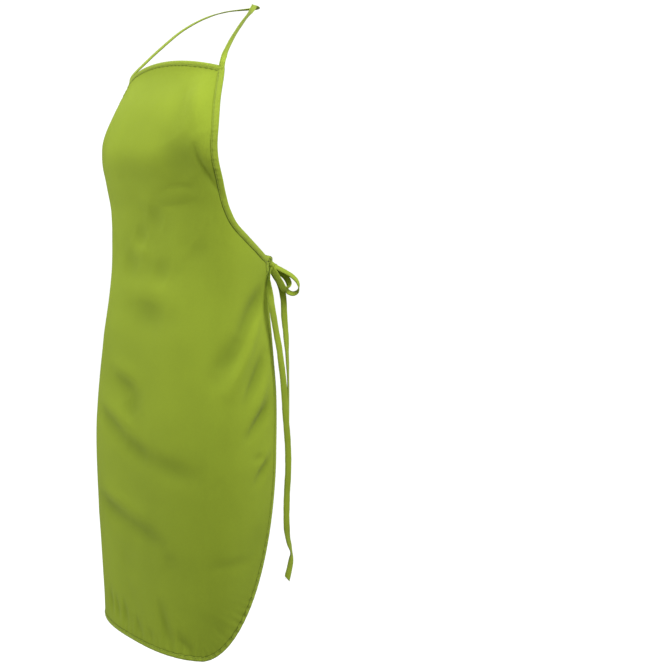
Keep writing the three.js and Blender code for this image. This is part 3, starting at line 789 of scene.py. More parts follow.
class Panel:
    """The cloth panel: a grid over the cut, offset to both sides of its wall."""

    WALL = 0.9
    ARMHOLE_ROWS = 88
    SIDE_ROWS = 88
    CORNER_ROWS = 54
    CORNER_COLUMNS = 42
    FLAT_COLUMNS = 42

    def __init__(self, cloth: Cloth) -> None:
        """Takes the worn cloth."""
        self.cloth = cloth

    def grid(self) -> np.ndarray:
        """Returns the places of the cut, rows by columns by two, blended between its four edges."""
        cut = self.cloth.cut
        sizes = cut.sizes
        side = np.concatenate(
            [
                cut.armhole(np.linspace(0, 1, self.ARMHOLE_ROWS + 1)),
                cut.side(np.linspace(0, 1, self.SIDE_ROWS + 1))[1:],
                cut.corner(np.linspace(0, 0.5, self.CORNER_ROWS + 1))[1:],
            ]
        )
        flat = np.linspace(cut.flat_half, 0, self.FLAT_COLUMNS + 1)[1:]
        hem = np.concatenate(
            [
                cut.corner(np.linspace(0.5, 1, self.CORNER_COLUMNS + 1)),
                np.stack([flat, np.full(len(flat), sizes.cloth_drop)], axis=1),
            ]
        )
        rows, half = len(side) - 1, len(hem) - 1
        v = np.linspace(0, 1, rows + 1)[:, None, None]
        u = np.linspace(1, 0, half + 1)[None, :, None]
        top = np.concatenate([sizes.bib_half * u, sizes.top_arch * u * u], axis=2)
        middle = np.concatenate([np.zeros_like(v), sizes.cloth_drop * v], axis=2)
        ends = (1 - v) * (u * side[0] + (1 - u) * np.array([0.0, 0.0]))
        ends = ends + v * (u * side[-1] + (1 - u) * np.array([0.0, sizes.cloth_drop]))
        left = top * (1 - v) + hem[None] * v + side[:, None] * u + middle * (1 - u) - ends
        right = left[:, ::-1][:, 1:] * np.array([-1.0, 1.0])
        return np.concatenate([left, right], axis=1)

    def build(self, finishes: Finishes) -> bpy.types.Object:
        """Builds the panel.

        Args:
            finishes: The apron's finishes.

        Returns:
            The panel's object.
        """
        grid = self.grid()
        rows, columns = grid.shape[:2]
        place, normal, rise = self.cloth.surface(grid[..., 0], grid[..., 1])
        layers = [place + normal * offset for offset in (self.WALL / 2, -self.WALL / 2)]
        vertices = np.concatenate([layer.reshape(-1, 3) for layer in layers])
        number = np.arange(rows * columns).reshape(rows, columns)
        corners = [number[:-1, :-1], number[:-1, 1:], number[1:, 1:], number[1:, :-1]]
        front = np.stack([part.ravel() for part in corners], axis=1)
        back = front[:, ::-1] + rows * columns
        rim = np.concatenate([number[0], number[1:, -1], number[-1, -2::-1], number[-2:0:-1, 0]])
        ahead = np.roll(rim, -1)
        band = np.stack([ahead, rim, rim + rows * columns, ahead + rows * columns], axis=1)
        faces = np.concatenate([front, back, band]).tolist()
        flat = grid.reshape(-1, 2) * MM
        # Painted shade: the cloth is darker in its dents and creases, where shade falls
        painted_shade = 0.5 * (1.0 - np.exp(np.minimum(rise.ravel(), 0.0) / 5.0))
        gap, shade = (values.ravel() for values in self.cloth.seam_shadow(grid[..., 0], grid[..., 1]))
        marks = {
            # Painted shade on the back face: darker throughout, with half the creases' shade and less of the painted
            # shadow along the tapes
            PAINTED_SHADE_NAME: np.concatenate([painted_shade, painted_shade * 0.5 + 0.15]),
            GAP_NAME: np.concatenate([gap, gap]),
            SHADE_NAME: np.concatenate([shade, shade * 0.6]),
        }
        piece = make_piece("apron_cloth", vertices, faces, finishes.cloth, np.concatenate([flat, flat]), marks)
        return settle(piece, Slot.CLOTH, "apron_panel")


@dataclass(frozen=True)
class BoundEdge:
    """A run of folded tape over the panel's edge."""

    name: str
    node: str
    width: float
    start_slim: bool = False
    end_slim: bool = False

    STEP = 2.0
    SEAM_IN = 1.4
    SLIM_REACH = 14.0
    # inward share or place from the rim, and rise over the middle of the cloth's wall
    FACE = (
        (0.0, 0.62),
        (0.12, 0.95),
        (0.6, 1.12),
        (1.4, 0.84),
        (2.1, 1.2),
        (3.4, 1.42),
    )
    FOLD = ((1.2, 1.38), (0.2, 1.16), (-0.45, 0.75), (-0.75, 0.3))
    INSIDE = 0.5

    def section(self) -> np.ndarray:
        """Returns the ring's points: distance in from the edge, and rise."""
        face = [(self.width - at, rise) for at, rise in self.FACE] + list(self.FOLD)
        outer = face + [(-0.85, 0.0)] + [(at, -rise) for at, rise in reversed(face)]
        half = len(outer) // 2
        shares = np.linspace(0, 1, half + 1)[:-1]
        lower = [(self.width - 0.1 + (-0.12 - self.width + 0.1) * s, -self.INSIDE) for s in shares]
        inner = lower + [(-0.2, 0.0)] + [(at, self.INSIDE) for at, _ in reversed(lower)]
        return np.array(outer + inner)

    def stations(self, run: np.ndarray) -> tuple[np.ndarray, np.ndarray, np.ndarray]:
        """Spaces the run.

        Args:
            run: Places of the cut's edge.

        Returns:
            Evenly spaced places, the directions into the cloth there, and the lengths along.
        """
        at = resample(run, self.STEP)
        ahead = unit(np.gradient(at, axis=0))
        inward = np.stack([-ahead[:, 1], ahead[:, 0]], axis=1)
        along = np.arange(len(at)) * self.STEP
        return at, inward, along

    def slimness(self, along: np.ndarray) -> np.ndarray:
        """Returns how full the tape is along the run, less where it goes over into flat tape."""
        full = np.ones_like(along)
        if self.start_slim:
            full = np.minimum(full, 0.7 + 0.3 * np.clip(along / self.SLIM_REACH, 0, 1))
        if self.end_slim:
            full = np.minimum(full, 0.7 + 0.3 * np.clip((along[-1] - along) / self.SLIM_REACH, 0, 1))
        return full

    def build(self, cloth: Cloth, run: np.ndarray, finishes: Finishes) -> bpy.types.Object:
        """Builds the folded tape.

        Args:
            cloth: The worn cloth.
            run: Places of the cut's edge, in the direction that goes round the panel.
            finishes: The apron's finishes.

        Returns:
            The tape's object.
        """
        at, inward, along = self.stations(run)
        section = self.section()
        count = len(section)
        wobble = 0.16 * np.sin(along / 9.0) + 0.12 * np.sin(along / 4.1 + 1.0)
        across_in = section[None, :, 0] + wobble[:, None] * np.clip(section[None, :, 0] / self.width, 0, 1)
        flat = at[:, None] + inward[:, None] * across_in[..., None]
        place, normal, _ = cloth.surface(flat[..., 0], flat[..., 1])
        ripple = 1 + 0.07 * np.sin(2 * math.pi * along / 6.7 + np.sin(along / 17.0))
        outer = np.abs(section[:, 1]) > self.INSIDE
        rise = section[None, :, 1] * np.where(outer[None], (ripple * self.slimness(along))[:, None], 1.0)
        vertices = (place + normal * rise[..., None]).reshape(-1, 3)
        depth = np.concatenate([[0.0], np.cumsum(np.hypot(*np.diff(section, axis=0).T))])
        uv = np.stack(np.broadcast_arrays(along[:, None], depth[None]), axis=-1).reshape(-1, 2) * MM
        # Painted shade in the tape's stitched groove, and on its inner faces that lie against the cloth
        seam = np.abs(section[:, 0] - (self.width - self.SEAM_IN)) < 0.3
        painted_shade = np.where(seam & outer, 0.55, 0.0) + np.where(outer, 0.0, 0.6)
        painted_shade = np.broadcast_to(painted_shade[None], (len(at), count)).ravel()
        faces = loft_faces(len(at), count, True)
        piece = make_piece(self.name, vertices, faces, finishes.tape, uv, {PAINTED_SHADE_NAME: painted_shade})
        return settle(piece, Slot.TAPE, self.node)

    def seams(self, cloth: Cloth, run: np.ndarray) -> list[SeamLine]:
        """Returns the rows of stitches on both sides of the cloth."""
        at, inward, _ = self.stations(run)
        flat = at + inward * (self.width - self.SEAM_IN)
        place, normal, _ = cloth.surface(flat[:, 0], flat[:, 1])
        return [SeamLine(place + normal * side * 0.96, normal * side) for side in (1.0, -1.0)]


# ---------------------------------------------------------------- flat tapes


class SmoothRoute:
    """A centripetal curve through a route's points, with the direction that the tape's face looks in."""

    PER_SPAN = 48

    def __init__(self, points: np.ndarray, faces: np.ndarray, across: np.ndarray | None = None) -> None:
        """Samples the curve finely between the points.

        Args:
            points: The route's points.
            faces: The direction that the tape's face looks in at each of them.
            across: Where given, the one direction that the tape's width keeps, as in a loop.
        """
        self.across = across
        points = np.asarray(points, float)
        ends = (2 * points[0] - points[1], 2 * points[-1] - points[-2])
        line = np.concatenate([[ends[0]], points, [ends[1]]])
        t = np.linspace(0, 1, self.PER_SPAN, endpoint=False)
        spans = [self._span(line[k : k + 4], t) for k in range(len(points) - 1)]
        self.line = np.concatenate([*spans, points[-1:]])
        self.t = np.linspace(0, len(points) - 1, len(self.line))
        self.faces = np.asarray(faces, float)
        self.arc = np.concatenate([[0.0], np.cumsum(np.linalg.norm(np.diff(self.line, axis=0), axis=1))])

    @staticmethod
    def _span(p: np.ndarray, t: np.ndarray) -> np.ndarray:
        """Returns the samples between the second and third of four points."""
        gap = np.maximum(np.sqrt(np.linalg.norm(np.diff(p, axis=0), axis=1)), 1e-4)
        first = (p[1] - p[0]) / gap[0] - (p[2] - p[0]) / (gap[0] + gap[1]) + (p[2] - p[1]) / gap[1]
        second = (p[2] - p[1]) / gap[1] - (p[3] - p[1]) / (gap[1] + gap[2]) + (p[3] - p[2]) / gap[2]
        first, second = first * gap[1], second * gap[1]
        t = t[:, None]
        cubic = 2 * p[1] - 2 * p[2] + first + second
        square = -3 * p[1] + 3 * p[2] - 2 * first - second
        return p[1] + first * t + square * t**2 + cubic * t**3

    @property
    def length(self) -> float:
        """The curve's length."""
        return float(self.arc[-1])

    def stations(self, step: float) -> tuple[np.ndarray, np.ndarray, np.ndarray, np.ndarray]:
        """Spaces the curve.

        Args:
            step: About how far apart the stations lie.

        Returns:
            Places, directions along, directions of the face, and lengths along.
        """
        count = max(int(round(self.length / step)), 2)
        along = np.linspace(0, self.length, count + 1)
        place = np.stack([np.interp(along, self.arc, column) for column in self.line.T], axis=1)
        ahead = unit(np.gradient(place, axis=0))
        if self.across is not None:
            return place, ahead, unit(np.cross(self.across, ahead)), along
        t = np.interp(along, self.arc, self.t)
        low = np.clip(t.astype(int), 0, len(self.faces) - 2)
        share = (t - low)[:, None]
        share = share * share * (3 - 2 * share)
        face = self.faces[low] * (1 - share) + self.faces[low + 1] * share
        face = unit(face - ahead * np.sum(face * ahead, axis=1, keepdims=True))
        return place, ahead, face, along


@dataclass(frozen=True)
class SeamLine:
    """A line that a row of stitches follows, with the direction that they look in."""

    points: np.ndarray
    faces: np.ndarray


@dataclass(frozen=True)
class FlatTape:
    """Cotton tape folded once along one edge and sewn along the other."""

    width: float
    thickness: float
    step: float = 1.6
    slant: float = 0.0
    seam_at: float = 0.64

    # across and through the tape, as shares of its half width and half thickness
    HALF = (
        (-1.0, 0.0),
        (-0.97, 0.42),
        (-0.86, 0.78),
        (-0.6, 0.98),
        (-0.2, 1.0),
        (0.2, 0.98),
        (0.46, 0.94),
        (0.64, 0.66),
        (0.8, 0.86),
        (0.93, 0.78),
        (0.985, 0.45),
        (0.93, 0.06),
    )

    def rings(self, route: SmoothRoute, closed: bool = False) -> tuple[np.ndarray, np.ndarray, int]:
        """Makes the rings of the tape.

        Args:
            route: The curve that it follows.
            closed: Whether it joins its own start.

        Returns:
            Vertices, their places in metres on the tape, and the points of a ring.
        """
        place, ahead, face, along = route.stations(self.step)
        if closed:
            place, ahead, face, along = place[:-1], ahead[:-1], face[:-1], along[:-1]
        side = np.cross(ahead, face)
        half = np.array(self.HALF)
        section = np.concatenate([half, half[::-1] * np.array([1.0, -1.0])])
        wave = 1 + 0.02 * np.sin(along / 5.3) + 0.015 * np.sin(along / 2.3 + 1.0)
        across = section[None, :, 0, None] * side[:, None] * (self.width / 2) * wave[:, None, None]
        through = section[None, :, 1, None] * face[:, None] * (self.thickness / 2)
        vertices = place[:, None] + across + through
        if self.slant:
            near = np.clip(1 - (along[-1] - along) / (2.5 * abs(self.slant)), 0, 1)
            vertices += (near[:, None] * section[None, :, 0] * self.slant)[..., None] * ahead[:, None]
        depth = np.concatenate([[0.0], np.cumsum(np.hypot(*np.diff(section * [self.width / 2, 1.0], axis=0).T))])
        uv = np.stack(np.broadcast_arrays(along[:, None], depth[None]), axis=-1).reshape(-1, 2) * MM
        return vertices.reshape(-1, 3), uv, len(section)

    def painted_shades(self, count: int) -> np.ndarray:
        """Returns painted shade in the seam's groove and between the two layers."""
        half = np.array(self.HALF)
        groove = np.where(np.abs(half[:, 0] - self.seam_at) < 0.02, 0.5, 0.0)
        # Painted shade where the two layers meet at the open edge
        groove[-1] = 0.9
        return np.tile(np.concatenate([groove, groove[::-1]]), count)

    def parts(self, route: SmoothRoute, closed: bool = False) -> tuple[np.ndarray, list, np.ndarray, np.ndarray]:
        """Returns the tape's vertices, faces, places on the tape and painted shade."""
        vertices, uv, count = self.rings(route, closed)
        rings = len(vertices) // count
        return vertices, loft_faces(rings, count, True, closed), uv, self.painted_shades(rings)

    def build(self, name: str, route: SmoothRoute, finishes: Finishes) -> bpy.types.Object:
        """Builds one tape as a piece."""
        vertices, faces, uv, painted_shade = self.parts(route)
        return make_piece(name, vertices, faces, finishes.tape, uv, {PAINTED_SHADE_NAME: painted_shade})

    def seams(self, route: SmoothRoute) -> list[SeamLine]:
        """Returns the row of stitches on each face of the tape."""
        place, ahead, face, _ = route.stations(self.step)
        side = np.cross(ahead, face)
        middle = place + side * (self.width / 2 * self.seam_at)
        lift = self.thickness / 2 * 0.66 + 0.1
        return [SeamLine(middle + face * lift * way, face * way) for way in (1.0, -1.0)]


def turned_faces(rows: np.ndarray) -> np.ndarray:
    """Returns face directions from compass turns and tilts, in degrees.

    Args:
        rows: A turn, from the front at 0 to the wearer's left at 90, and a tilt up, in each row.

    Returns:
        One direction a row.
    """
    turn, tilt = np.radians(rows[:, 0]), np.radians(rows[:, 1])
    return np.stack([np.sin(turn) * np.cos(tilt), -np.cos(turn) * np.cos(tilt), np.sin(tilt)], axis=1)


# across, forward, down; turn and tilt of the face on the wearer's right, and on the left
STRAP_ROUTE = np.array(
    [
        (0.0, 0.0, 0.0, 180, 78, 180, 78),
        (0.3, 0.2, 0.035, 60, 82, 155, 76),
        (0.52, 0.345, 0.118, 8, 60, 145, 50),
        (0.69, 0.53, 0.297, 8, 54, 128, -19),
        (0.79, 0.71, 0.53, 8, 48, 121, -12),
        (0.905, 0.89, 0.8, 4, 42, 108, 4),
        (1.0, 1.0, 1.0, -6, 38, 53, 42),
    ]
)
# across, back, fall
TIE_ROUTE = np.array(
    [
        (-1.0, 0.0, 0.0),
        (-0.78, 0.4, 0.15),
        (-0.5, 0.75, 0.3),
        (0.0, 1.0, 0.5),
        (0.5, 0.75, 0.7),
        (0.78, 0.4, 0.85),
        (1.0, 0.0, 1.0),
    ]
)
# x, y, z from the knot, and for the tails the turn and tilt of the face
LARGE_LOOP = np.array(
    [
        (3.0, 0.0, -2.5),
        (5, 0.7, -4.2),
        (11.4, 8.4, -9.6),
        (16.8, 16.2, -14.7),
        (21.2, 22.7, -20),
        (24.6, 27.7, -26.6),
        (26.1, 29.7, -34.7),
        (24.7, 28.2, -41),
        (21.2, 24.7, -43.9),
        (16.8, 20.6, -42.7),
        (10.9, 16.5, -36.6),
        (3.8, 10.4, -23.4),
        (0.5, 3.5, -10.4),
    ]
)
SMALL_LOOP = np.array(
    [
        (2.2, -3.4, -2.6),
        (5.3, -3, -8),
        (11.4, 0, -17.6),
        (15.8, 3.8, -27.4),
        (18.4, 8.8, -36.5),
        (18.9, 15.5, -36.3),
        (16.8, 19.7, -31.2),
        (12.3, 19.4, -23.2),
        (7.1, 14.1, -15.2),
        (4.2, 6.5, -8.1),
        (2.5, 3.0, -4.5),
    ]
)
LONG_TAIL = np.array(
    [
        (1.6, -1.2, -7.8, -10, 0),
        (5.4, -7.5, -14.8, -20, 0),
        (7, -10.3, -22.3, -15, 0),
        (9.1, -11.7, -30.5, 10, 0),
        (12, -12.4, -40.1, 35, 0),
        (18, -13.5, -59, 65, 0),
        (22, -7, -101.5, 70, 0),
        (25, -5, -119, 70, 0),
        (28, -4.5, -136, 70, 0),
        (30.5, -3.5, -153, 65, 0),
        (33, -3, -171, 60, 0),
        (37.5, -3, -211, 60, 0),
        (40.5, -0.5, -258, 60, 0),
        (41.5, -0.5, -293, 60, 0),
        (40, -1, -329, 60, 0),
        (40.5, -1, -373.5, 65, 0),
        (39.5, 3.5, -395, 95, 0),
        (38.5, 10, -412, 125, 0),
        (37, 10.5, -430, 80, 0),
        (35.5, 5.5, -453.5, 60, 0),
    ]
)
SHORT_TAIL = np.array(
    [
        (-1.4, 1.9, -6.2, 55, 0),
        (-1.4, 5.5, -13.6, 55, 0),
        (4.2, 13.8, -31.4, 55, 0),
        (7.1, 17.6, -51, 55, 0),
        (8, 19, -77, 60, 0),
        (9.7, 21, -102.5, 80, 0),
        (11.2, 23, -137, 110, 0),
        (12, 24.5, -172, 125, 0),
        (12.5, 25, -225, 125, 0),
        (12.5, 25, -272, 120, 0),
        (12.5, 25, -322, 110, 0),
    ]
)


@dataclass
class NeckStrap:
    """The strap from one bib corner round the nape to the other."""

    form: WornForm
    tape: FlatTape = FlatTape(8.0, 1.8)
    overhang: float = 1.35
    tuck: float = 5.0

    def corner(self, sign: float) -> tuple[np.ndarray, np.ndarray, np.ndarray]:
        """Finds the strap's end at a bib corner.

        Args:
            sign: 1 for the wearer's left, -1 for the right.

        Returns:
            The place where the strap's route ends, a place tucked under the binding, and the
            direction that its face looks in.
        """
        sizes = self.form.sizes
        across = np.array([sign * sizes.bib_half, sign * (sizes.bib_half - sizes.armhole_binding)])
        places = self.form.point(across, np.full(2, sizes.top_arch))
        face = self.form.normal(across[:1], np.full(1, sizes.top_arch))[0]
        side = unit(places[0] - places[1])
        up = unit(np.cross(side, face)) * sign
        up = up * np.sign(up[2])
        middle = places[0] + side * (self.overhang - sizes.armhole_binding) / 2
        return middle + up * self.tape.width, middle - up * self.tuck, face

    def route(self) -> SmoothRoute:
        """Returns the strap's curve from the wearer's right to the left."""
        points, faces = [], []
        for sign in (-1.0, 1.0):
            end, tucked, face = self.corner(sign)
            reach = np.array([sign * abs(end[0]), end[1], end[2]])
            place = STRAP_ROUTE[:, :3] * reach
            look = turned_faces(STRAP_ROUTE[:, 3:5] if sign < 0 else STRAP_ROUTE[:, 5:7])
            place, look = np.vstack([place, tucked]), np.vstack([look, face])
            if sign < 0:
                points, faces = [place[::-1]], [look[::-1]]
            else:
                points.append(place[1:])
                faces.append(look[1:])
        return SmoothRoute(np.concatenate(points), np.concatenate(faces))

    def build(self, finishes: Finishes) -> tuple[bpy.types.Object, list[SeamLine]]:
        """Returns the strap's object and its seams."""
        route = self.route()
        piece = self.tape.build("neck_tape", route, finishes)
        LOG.info("neck tape: %.0f mm", route.length)
        return settle(piece, Slot.TAPE, "neck_strap"), self.tape.seams(route)


@dataclass
class SideBow:
    """The tie round the back, and the bow at the wearer's left waist corner."""

    form: WornForm
    tape: FlatTape = FlatTape(9.0, 1.6)
    knot_radius: float = 5.5
    knot_down: float = 6.0
    knot_out: float = 1.0
    tape_end: float = 2.05
    tie_behind: float = 66.0
    tail_slant: float = -3.2
    large_across: tuple[float, float, float] = (0.494, -0.553, -0.667)
    small_across: tuple[float, float, float] = (-0.571, -0.376, -0.73)

    def corner(self, sign: float) -> tuple[np.ndarray, np.ndarray]:
        """Returns a waist corner's place and the level direction out of the cloth there."""
        sizes = self.form.sizes
        waist = sizes.cloth_half * sizes.waist_share
        across = np.array([sign * waist, sign * (waist - sizes.armhole_binding)])
        places = self.form.point(across, np.full(2, sizes.armhole_drop))
        out = (places[0] - places[1]) * np.array([1.0, 1.0, 0.0])
        return places[0], unit(out)

    def __post_init__(self) -> None:
        """Places the knot."""
        place, out = self.corner(1.0)
        self.knot = place + out * (self.tape_end + self.knot_radius + self.knot_out)
        self.knot[2] -= self.knot_down

    def local(self, rows: np.ndarray, across: np.ndarray | None = None) -> SmoothRoute:
        """Returns the curve of a route that is given from the knot."""
        faces = turned_faces(rows[:, 3:]) if across is None else rows
        return SmoothRoute(rows[:, :3] + self.knot, faces, across)

    def tail(self, name: str, node: str, rows: np.ndarray, finishes: Finishes, stitcher: Stitcher) -> None:
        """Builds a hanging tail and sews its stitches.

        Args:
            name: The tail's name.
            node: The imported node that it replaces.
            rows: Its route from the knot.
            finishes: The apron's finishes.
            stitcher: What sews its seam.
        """
        route = self.local(rows)
        tape = FlatTape(self.tape.width, self.tape.thickness, slant=self.tail_slant)
        piece = settle(tape.build(name, route, finishes), Slot.TAPE, node)
        stitches = stitcher.sew(f"{name}_stitches", tape.seams(route))
        points, _, _, _ = route.stations(12.0)
        LOG.info("%s: %.0f mm", name, route.length)

    def tie_route(self) -> SmoothRoute:
        """Returns the curve of the tie from the right waist corner round the back to the knot."""
        place, out = self.corner(-1.0)
        start = place + out * self.tape_end
        points = np.stack(
            [
                TIE_ROUTE[:, 0] * self.knot[0],
                self.knot[1] + TIE_ROUTE[:, 1] * self.tie_behind,
                start[2] + (self.knot[2] - start[2]) * TIE_ROUTE[:, 2],
            ],
            axis=1,
        )
        points[0] = start
        points[-1] = self.knot + unit(points[-2] - self.knot) * self.knot_radius * 0.6
        look = unit(np.stack([TIE_ROUTE[:, 0], TIE_ROUTE[:, 1], np.zeros(len(TIE_ROUTE))], axis=1))
        points = np.vstack([place - out * self.tape_end * 2, points])
        return SmoothRoute(points, np.vstack([look[:1], look]))

    def knot_bands(self) -> list[tuple[SmoothRoute, FlatTape]]:
        """Returns the closed bands of the knot: the small ring on top and the wraps round the middle."""
        bands = []
        # x, y, z of the middle; turn and tilt of the axis; radii; width and thickness
        rows = (
            (-1.9, -4.2, 1.6, 53.0, 8.0, 2.4, 2.9, 6.0, 1.6),
            (2.6, -0.6, -3.8, 136.0, -44.0, 3.7, 3.9, 6.5, 1.8),
        )
        for x, y, z, turn, tilt, wide, high, width, thickness in rows:
            axis = turned_faces(np.array([[turn, tilt]]))[0]
            first = unit(np.cross(axis, np.array([0.0, 0.0, 1.0])))
            second = np.cross(axis, first)
            angle = np.linspace(0, 2 * math.pi, 17)[:, None]
            look = np.cos(angle) * first + np.sin(angle) * second
            ring = np.cos(angle) * first * wide + np.sin(angle) * second * high
            route = SmoothRoute(self.knot + np.array([x, y, z]) + ring, look)
            bands.append((route, FlatTape(width, thickness, step=0.8)))
        return bands

    def build_knot(self, finishes: Finishes) -> bpy.types.Object:
        """Builds the knot from its bands, and the short tape from the corner of the cloth into it."""
        vertices, faces, uvs, painted_shades = [], [], [], []
        start = 0
        place, out = self.corner(1.0)
        points = np.stack([place - out * 4.0, place + out * 1.5, self.knot + np.array([-2.5, -1.0, 2.0])])
        look = np.array([[0.75, -0.6, 0.25]] * 3)
        behind = self.knot + np.array([(-5.3, -2.0, 4.6), (-3.6, -0.3, -2.7), (-0.9, 1.6, -11.1)])
        pieces = [(SmoothRoute(line, look), FlatTape(8.0, 1.6, step=1.0), False) for line in (points, behind)]
        pieces += [(route, tape, True) for route, tape in self.knot_bands()]
        for route, tape, closed in pieces:
            part, quads, uv, painted_shade = tape.parts(route, closed)
            vertices.append(part)
            faces += [tuple(v + start for v in quad) for quad in quads]
            uvs.append(uv)
            painted_shades.append(painted_shade)
            start += len(part)
        piece = make_piece(
            "bow_knot_wraps",
            np.concatenate(vertices),
            faces,
            finishes.tape,
            np.concatenate(uvs),
            {PAINTED_SHADE_NAME: np.concatenate(painted_shades)},
        )
        return settle(piece, Slot.TAPE, "bow_knot")

    def build_tails(self, finishes: Finishes, stitcher: Stitcher) -> None:
        """Builds both hanging tails."""
        self.tail("long_tail", "tie_tail_long", LONG_TAIL, finishes, stitcher)
        self.tail("short_tail", "tie_tail_short", SHORT_TAIL, finishes, stitcher)

    def build(self, finishes: Finishes) -> list[SeamLine]:
        """Builds the tie, the loops and the knot, and returns their seams."""
        seams = []
        routes = (
            ("waist_tape", "waist_tie", self.tie_route()),
            ("large_loop", "bow_loop_large", self.local(LARGE_LOOP, np.array(self.large_across))),
            ("small_loop", "bow_loop_small", self.local(SMALL_LOOP, np.array(self.small_across))),
        )
        for name, node, route in routes:
            settle(self.tape.build(name, route, finishes), Slot.TAPE, node)
            seams += self.tape.seams(route)
        self.build_knot(finishes)
        return seams


# ---------------------------------------------------------------- stitches


class Stitcher:
    """Rows of lockstitch, laid along seams by one Geometry Nodes tree."""

    PITCH = 3.0
    LENGTH = 2.3
    THREAD = 0.42
    SEED = 3

    def __init__(self, material: bpy.types.Material) -> None:
        """Builds the tree."""
        self.material = material
        self.tree = self._tree()

    def _tree(self) -> bpy.types.NodeTree:
        """Returns the tree that sets a small spindle of thread at each step along a line."""
        tree = bpy.data.node_groups.new("seam_stitches", "GeometryNodeTree")
        face = tree.interface
        face.new_socket("Geometry", in_out="INPUT", socket_type="NodeSocketGeometry")
        face.new_socket("Geometry", in_out="OUTPUT", socket_type="NodeSocketGeometry")
        for name in ("Pitch", "Stitch Length", "Thread"):
            face.new_socket(name, in_out="INPUT", socket_type="NodeSocketFloat")
        face.new_socket("Seed", in_out="INPUT", socket_type="NodeSocketInt")
        board = NodeBoard(tree)
        source = board.add("NodeGroupInput").outputs
        line = board.add("GeometryNodeMeshToCurve", None, {0: source["Geometry"]}).outputs[0]
        spaced = board.add(
            "GeometryNodeResampleCurve", {"mode": "LENGTH"}, {"Curve": line, "Length": source["Pitch"]}
        ).outputs[0]
        ball = board.add("GeometryNodeMeshUVSphere", None, {"Segments": 6, "Rings": 5, "Radius": 0.5}).outputs[0]
        size = board.add(
            "ShaderNodeCombineXYZ", None, {0: source["Stitch Length"], 1: source["Thread"], 2: source["Thread"]}
        ).outputs[0]
        spindle = board.add("GeometryNodeTransform", None, {"Geometry": ball, "Scale": size}).outputs[0]
        tangent = board.add("GeometryNodeInputTangent").outputs[0]
        look = board.add(
            "GeometryNodeInputNamedAttribute", {"data_type": "FLOAT_VECTOR"}, {"Name": FACE_NAME}
        ).outputs[0]
        ahead = board.add("FunctionNodeAlignRotationToVector", {"axis": "X"}, {"Vector": tangent}).outputs[0]
        turn = board.add(
            "FunctionNodeAlignRotationToVector",
            {"axis": "Z", "pivot_axis": "X"},
            {"Rotation": ahead, "Vector": look},
        ).outputs[0]
        vary = board.add(
            "FunctionNodeRandomValue", {"data_type": "FLOAT"}, {"Min": 0.9, "Max": 1.08, "Seed": source["Seed"]}
        ).outputs[1]
        placed = board.add(
            "GeometryNodeInstanceOnPoints",
            None,
            {"Points": spaced, "Instance": spindle, "Rotation": turn, "Scale": vary},
        ).outputs[0]
        real = board.add("GeometryNodeRealizeInstances", None, {0: placed}).outputs[0]
        dressed = board.add(
            "GeometryNodeSetMaterial", None, {"Geometry": real, "Material": self.material}
        ).outputs[0]
        board.add("NodeGroupOutput", None, {0: dressed})
        return tree

    def sew(self, name: str, seams: list[SeamLine]) -> bpy.types.Object:
        """Sews rows of stitches as one piece.

        Args:
            name: The piece's name.
            seams: The lines that the rows follow.

        Returns:
            The piece, a plain mesh.
        """
        points = np.concatenate([seam.points for seam in seams]) * MM
        looks = np.concatenate([seam.faces for seam in seams])
        edges, start = [], 0
        for seam in seams:
            count = len(seam.points)
            edges += [(start + k, start + k + 1) for k in range(count - 1)]
            start += count
        line = bpy.data.meshes.new(f"{name}_line")
        line.from_pydata(points.tolist(), edges, [])
        line.attributes.new(FACE_NAME, "FLOAT_VECTOR", "POINT").data.foreach_set(
            "vector", looks.astype(np.float32).ravel()
        )
        carrier = bpy.data.objects.new(f"{name}_line", line)
        bpy.context.scene.collection.objects.link(carrier)
        modifier = carrier.modifiers.new("stitches", "NODES")
        modifier.node_group = self.tree
        values = {"Pitch": self.PITCH * MM, "Stitch Length": self.LENGTH * MM, "Thread": self.THREAD * MM}
        for item in self.tree.interface.items_tree:
            if item.in_out == "INPUT" and item.name in values:
                modifier[item.identifier] = values[item.name]
            elif item.in_out == "INPUT" and item.name == "Seed":
                modifier[item.identifier] = self.SEED
        ready = carrier.evaluated_get(bpy.context.evaluated_depsgraph_get())
        mesh = bpy.data.meshes.new_from_object(ready)
        mesh.name = name
        mesh.polygons.foreach_set("use_smooth", np.ones(len(mesh.polygons), dtype=bool))
        bpy.data.objects.remove(carrier)
        bpy.data.meshes.remove(line)
        piece = bpy.data.objects.new(name, mesh)
        bpy.context.scene.collection.objects.link(piece)
        return settle(piece, Slot.TAPE)


# ---------------------------------------------------------------- the studio


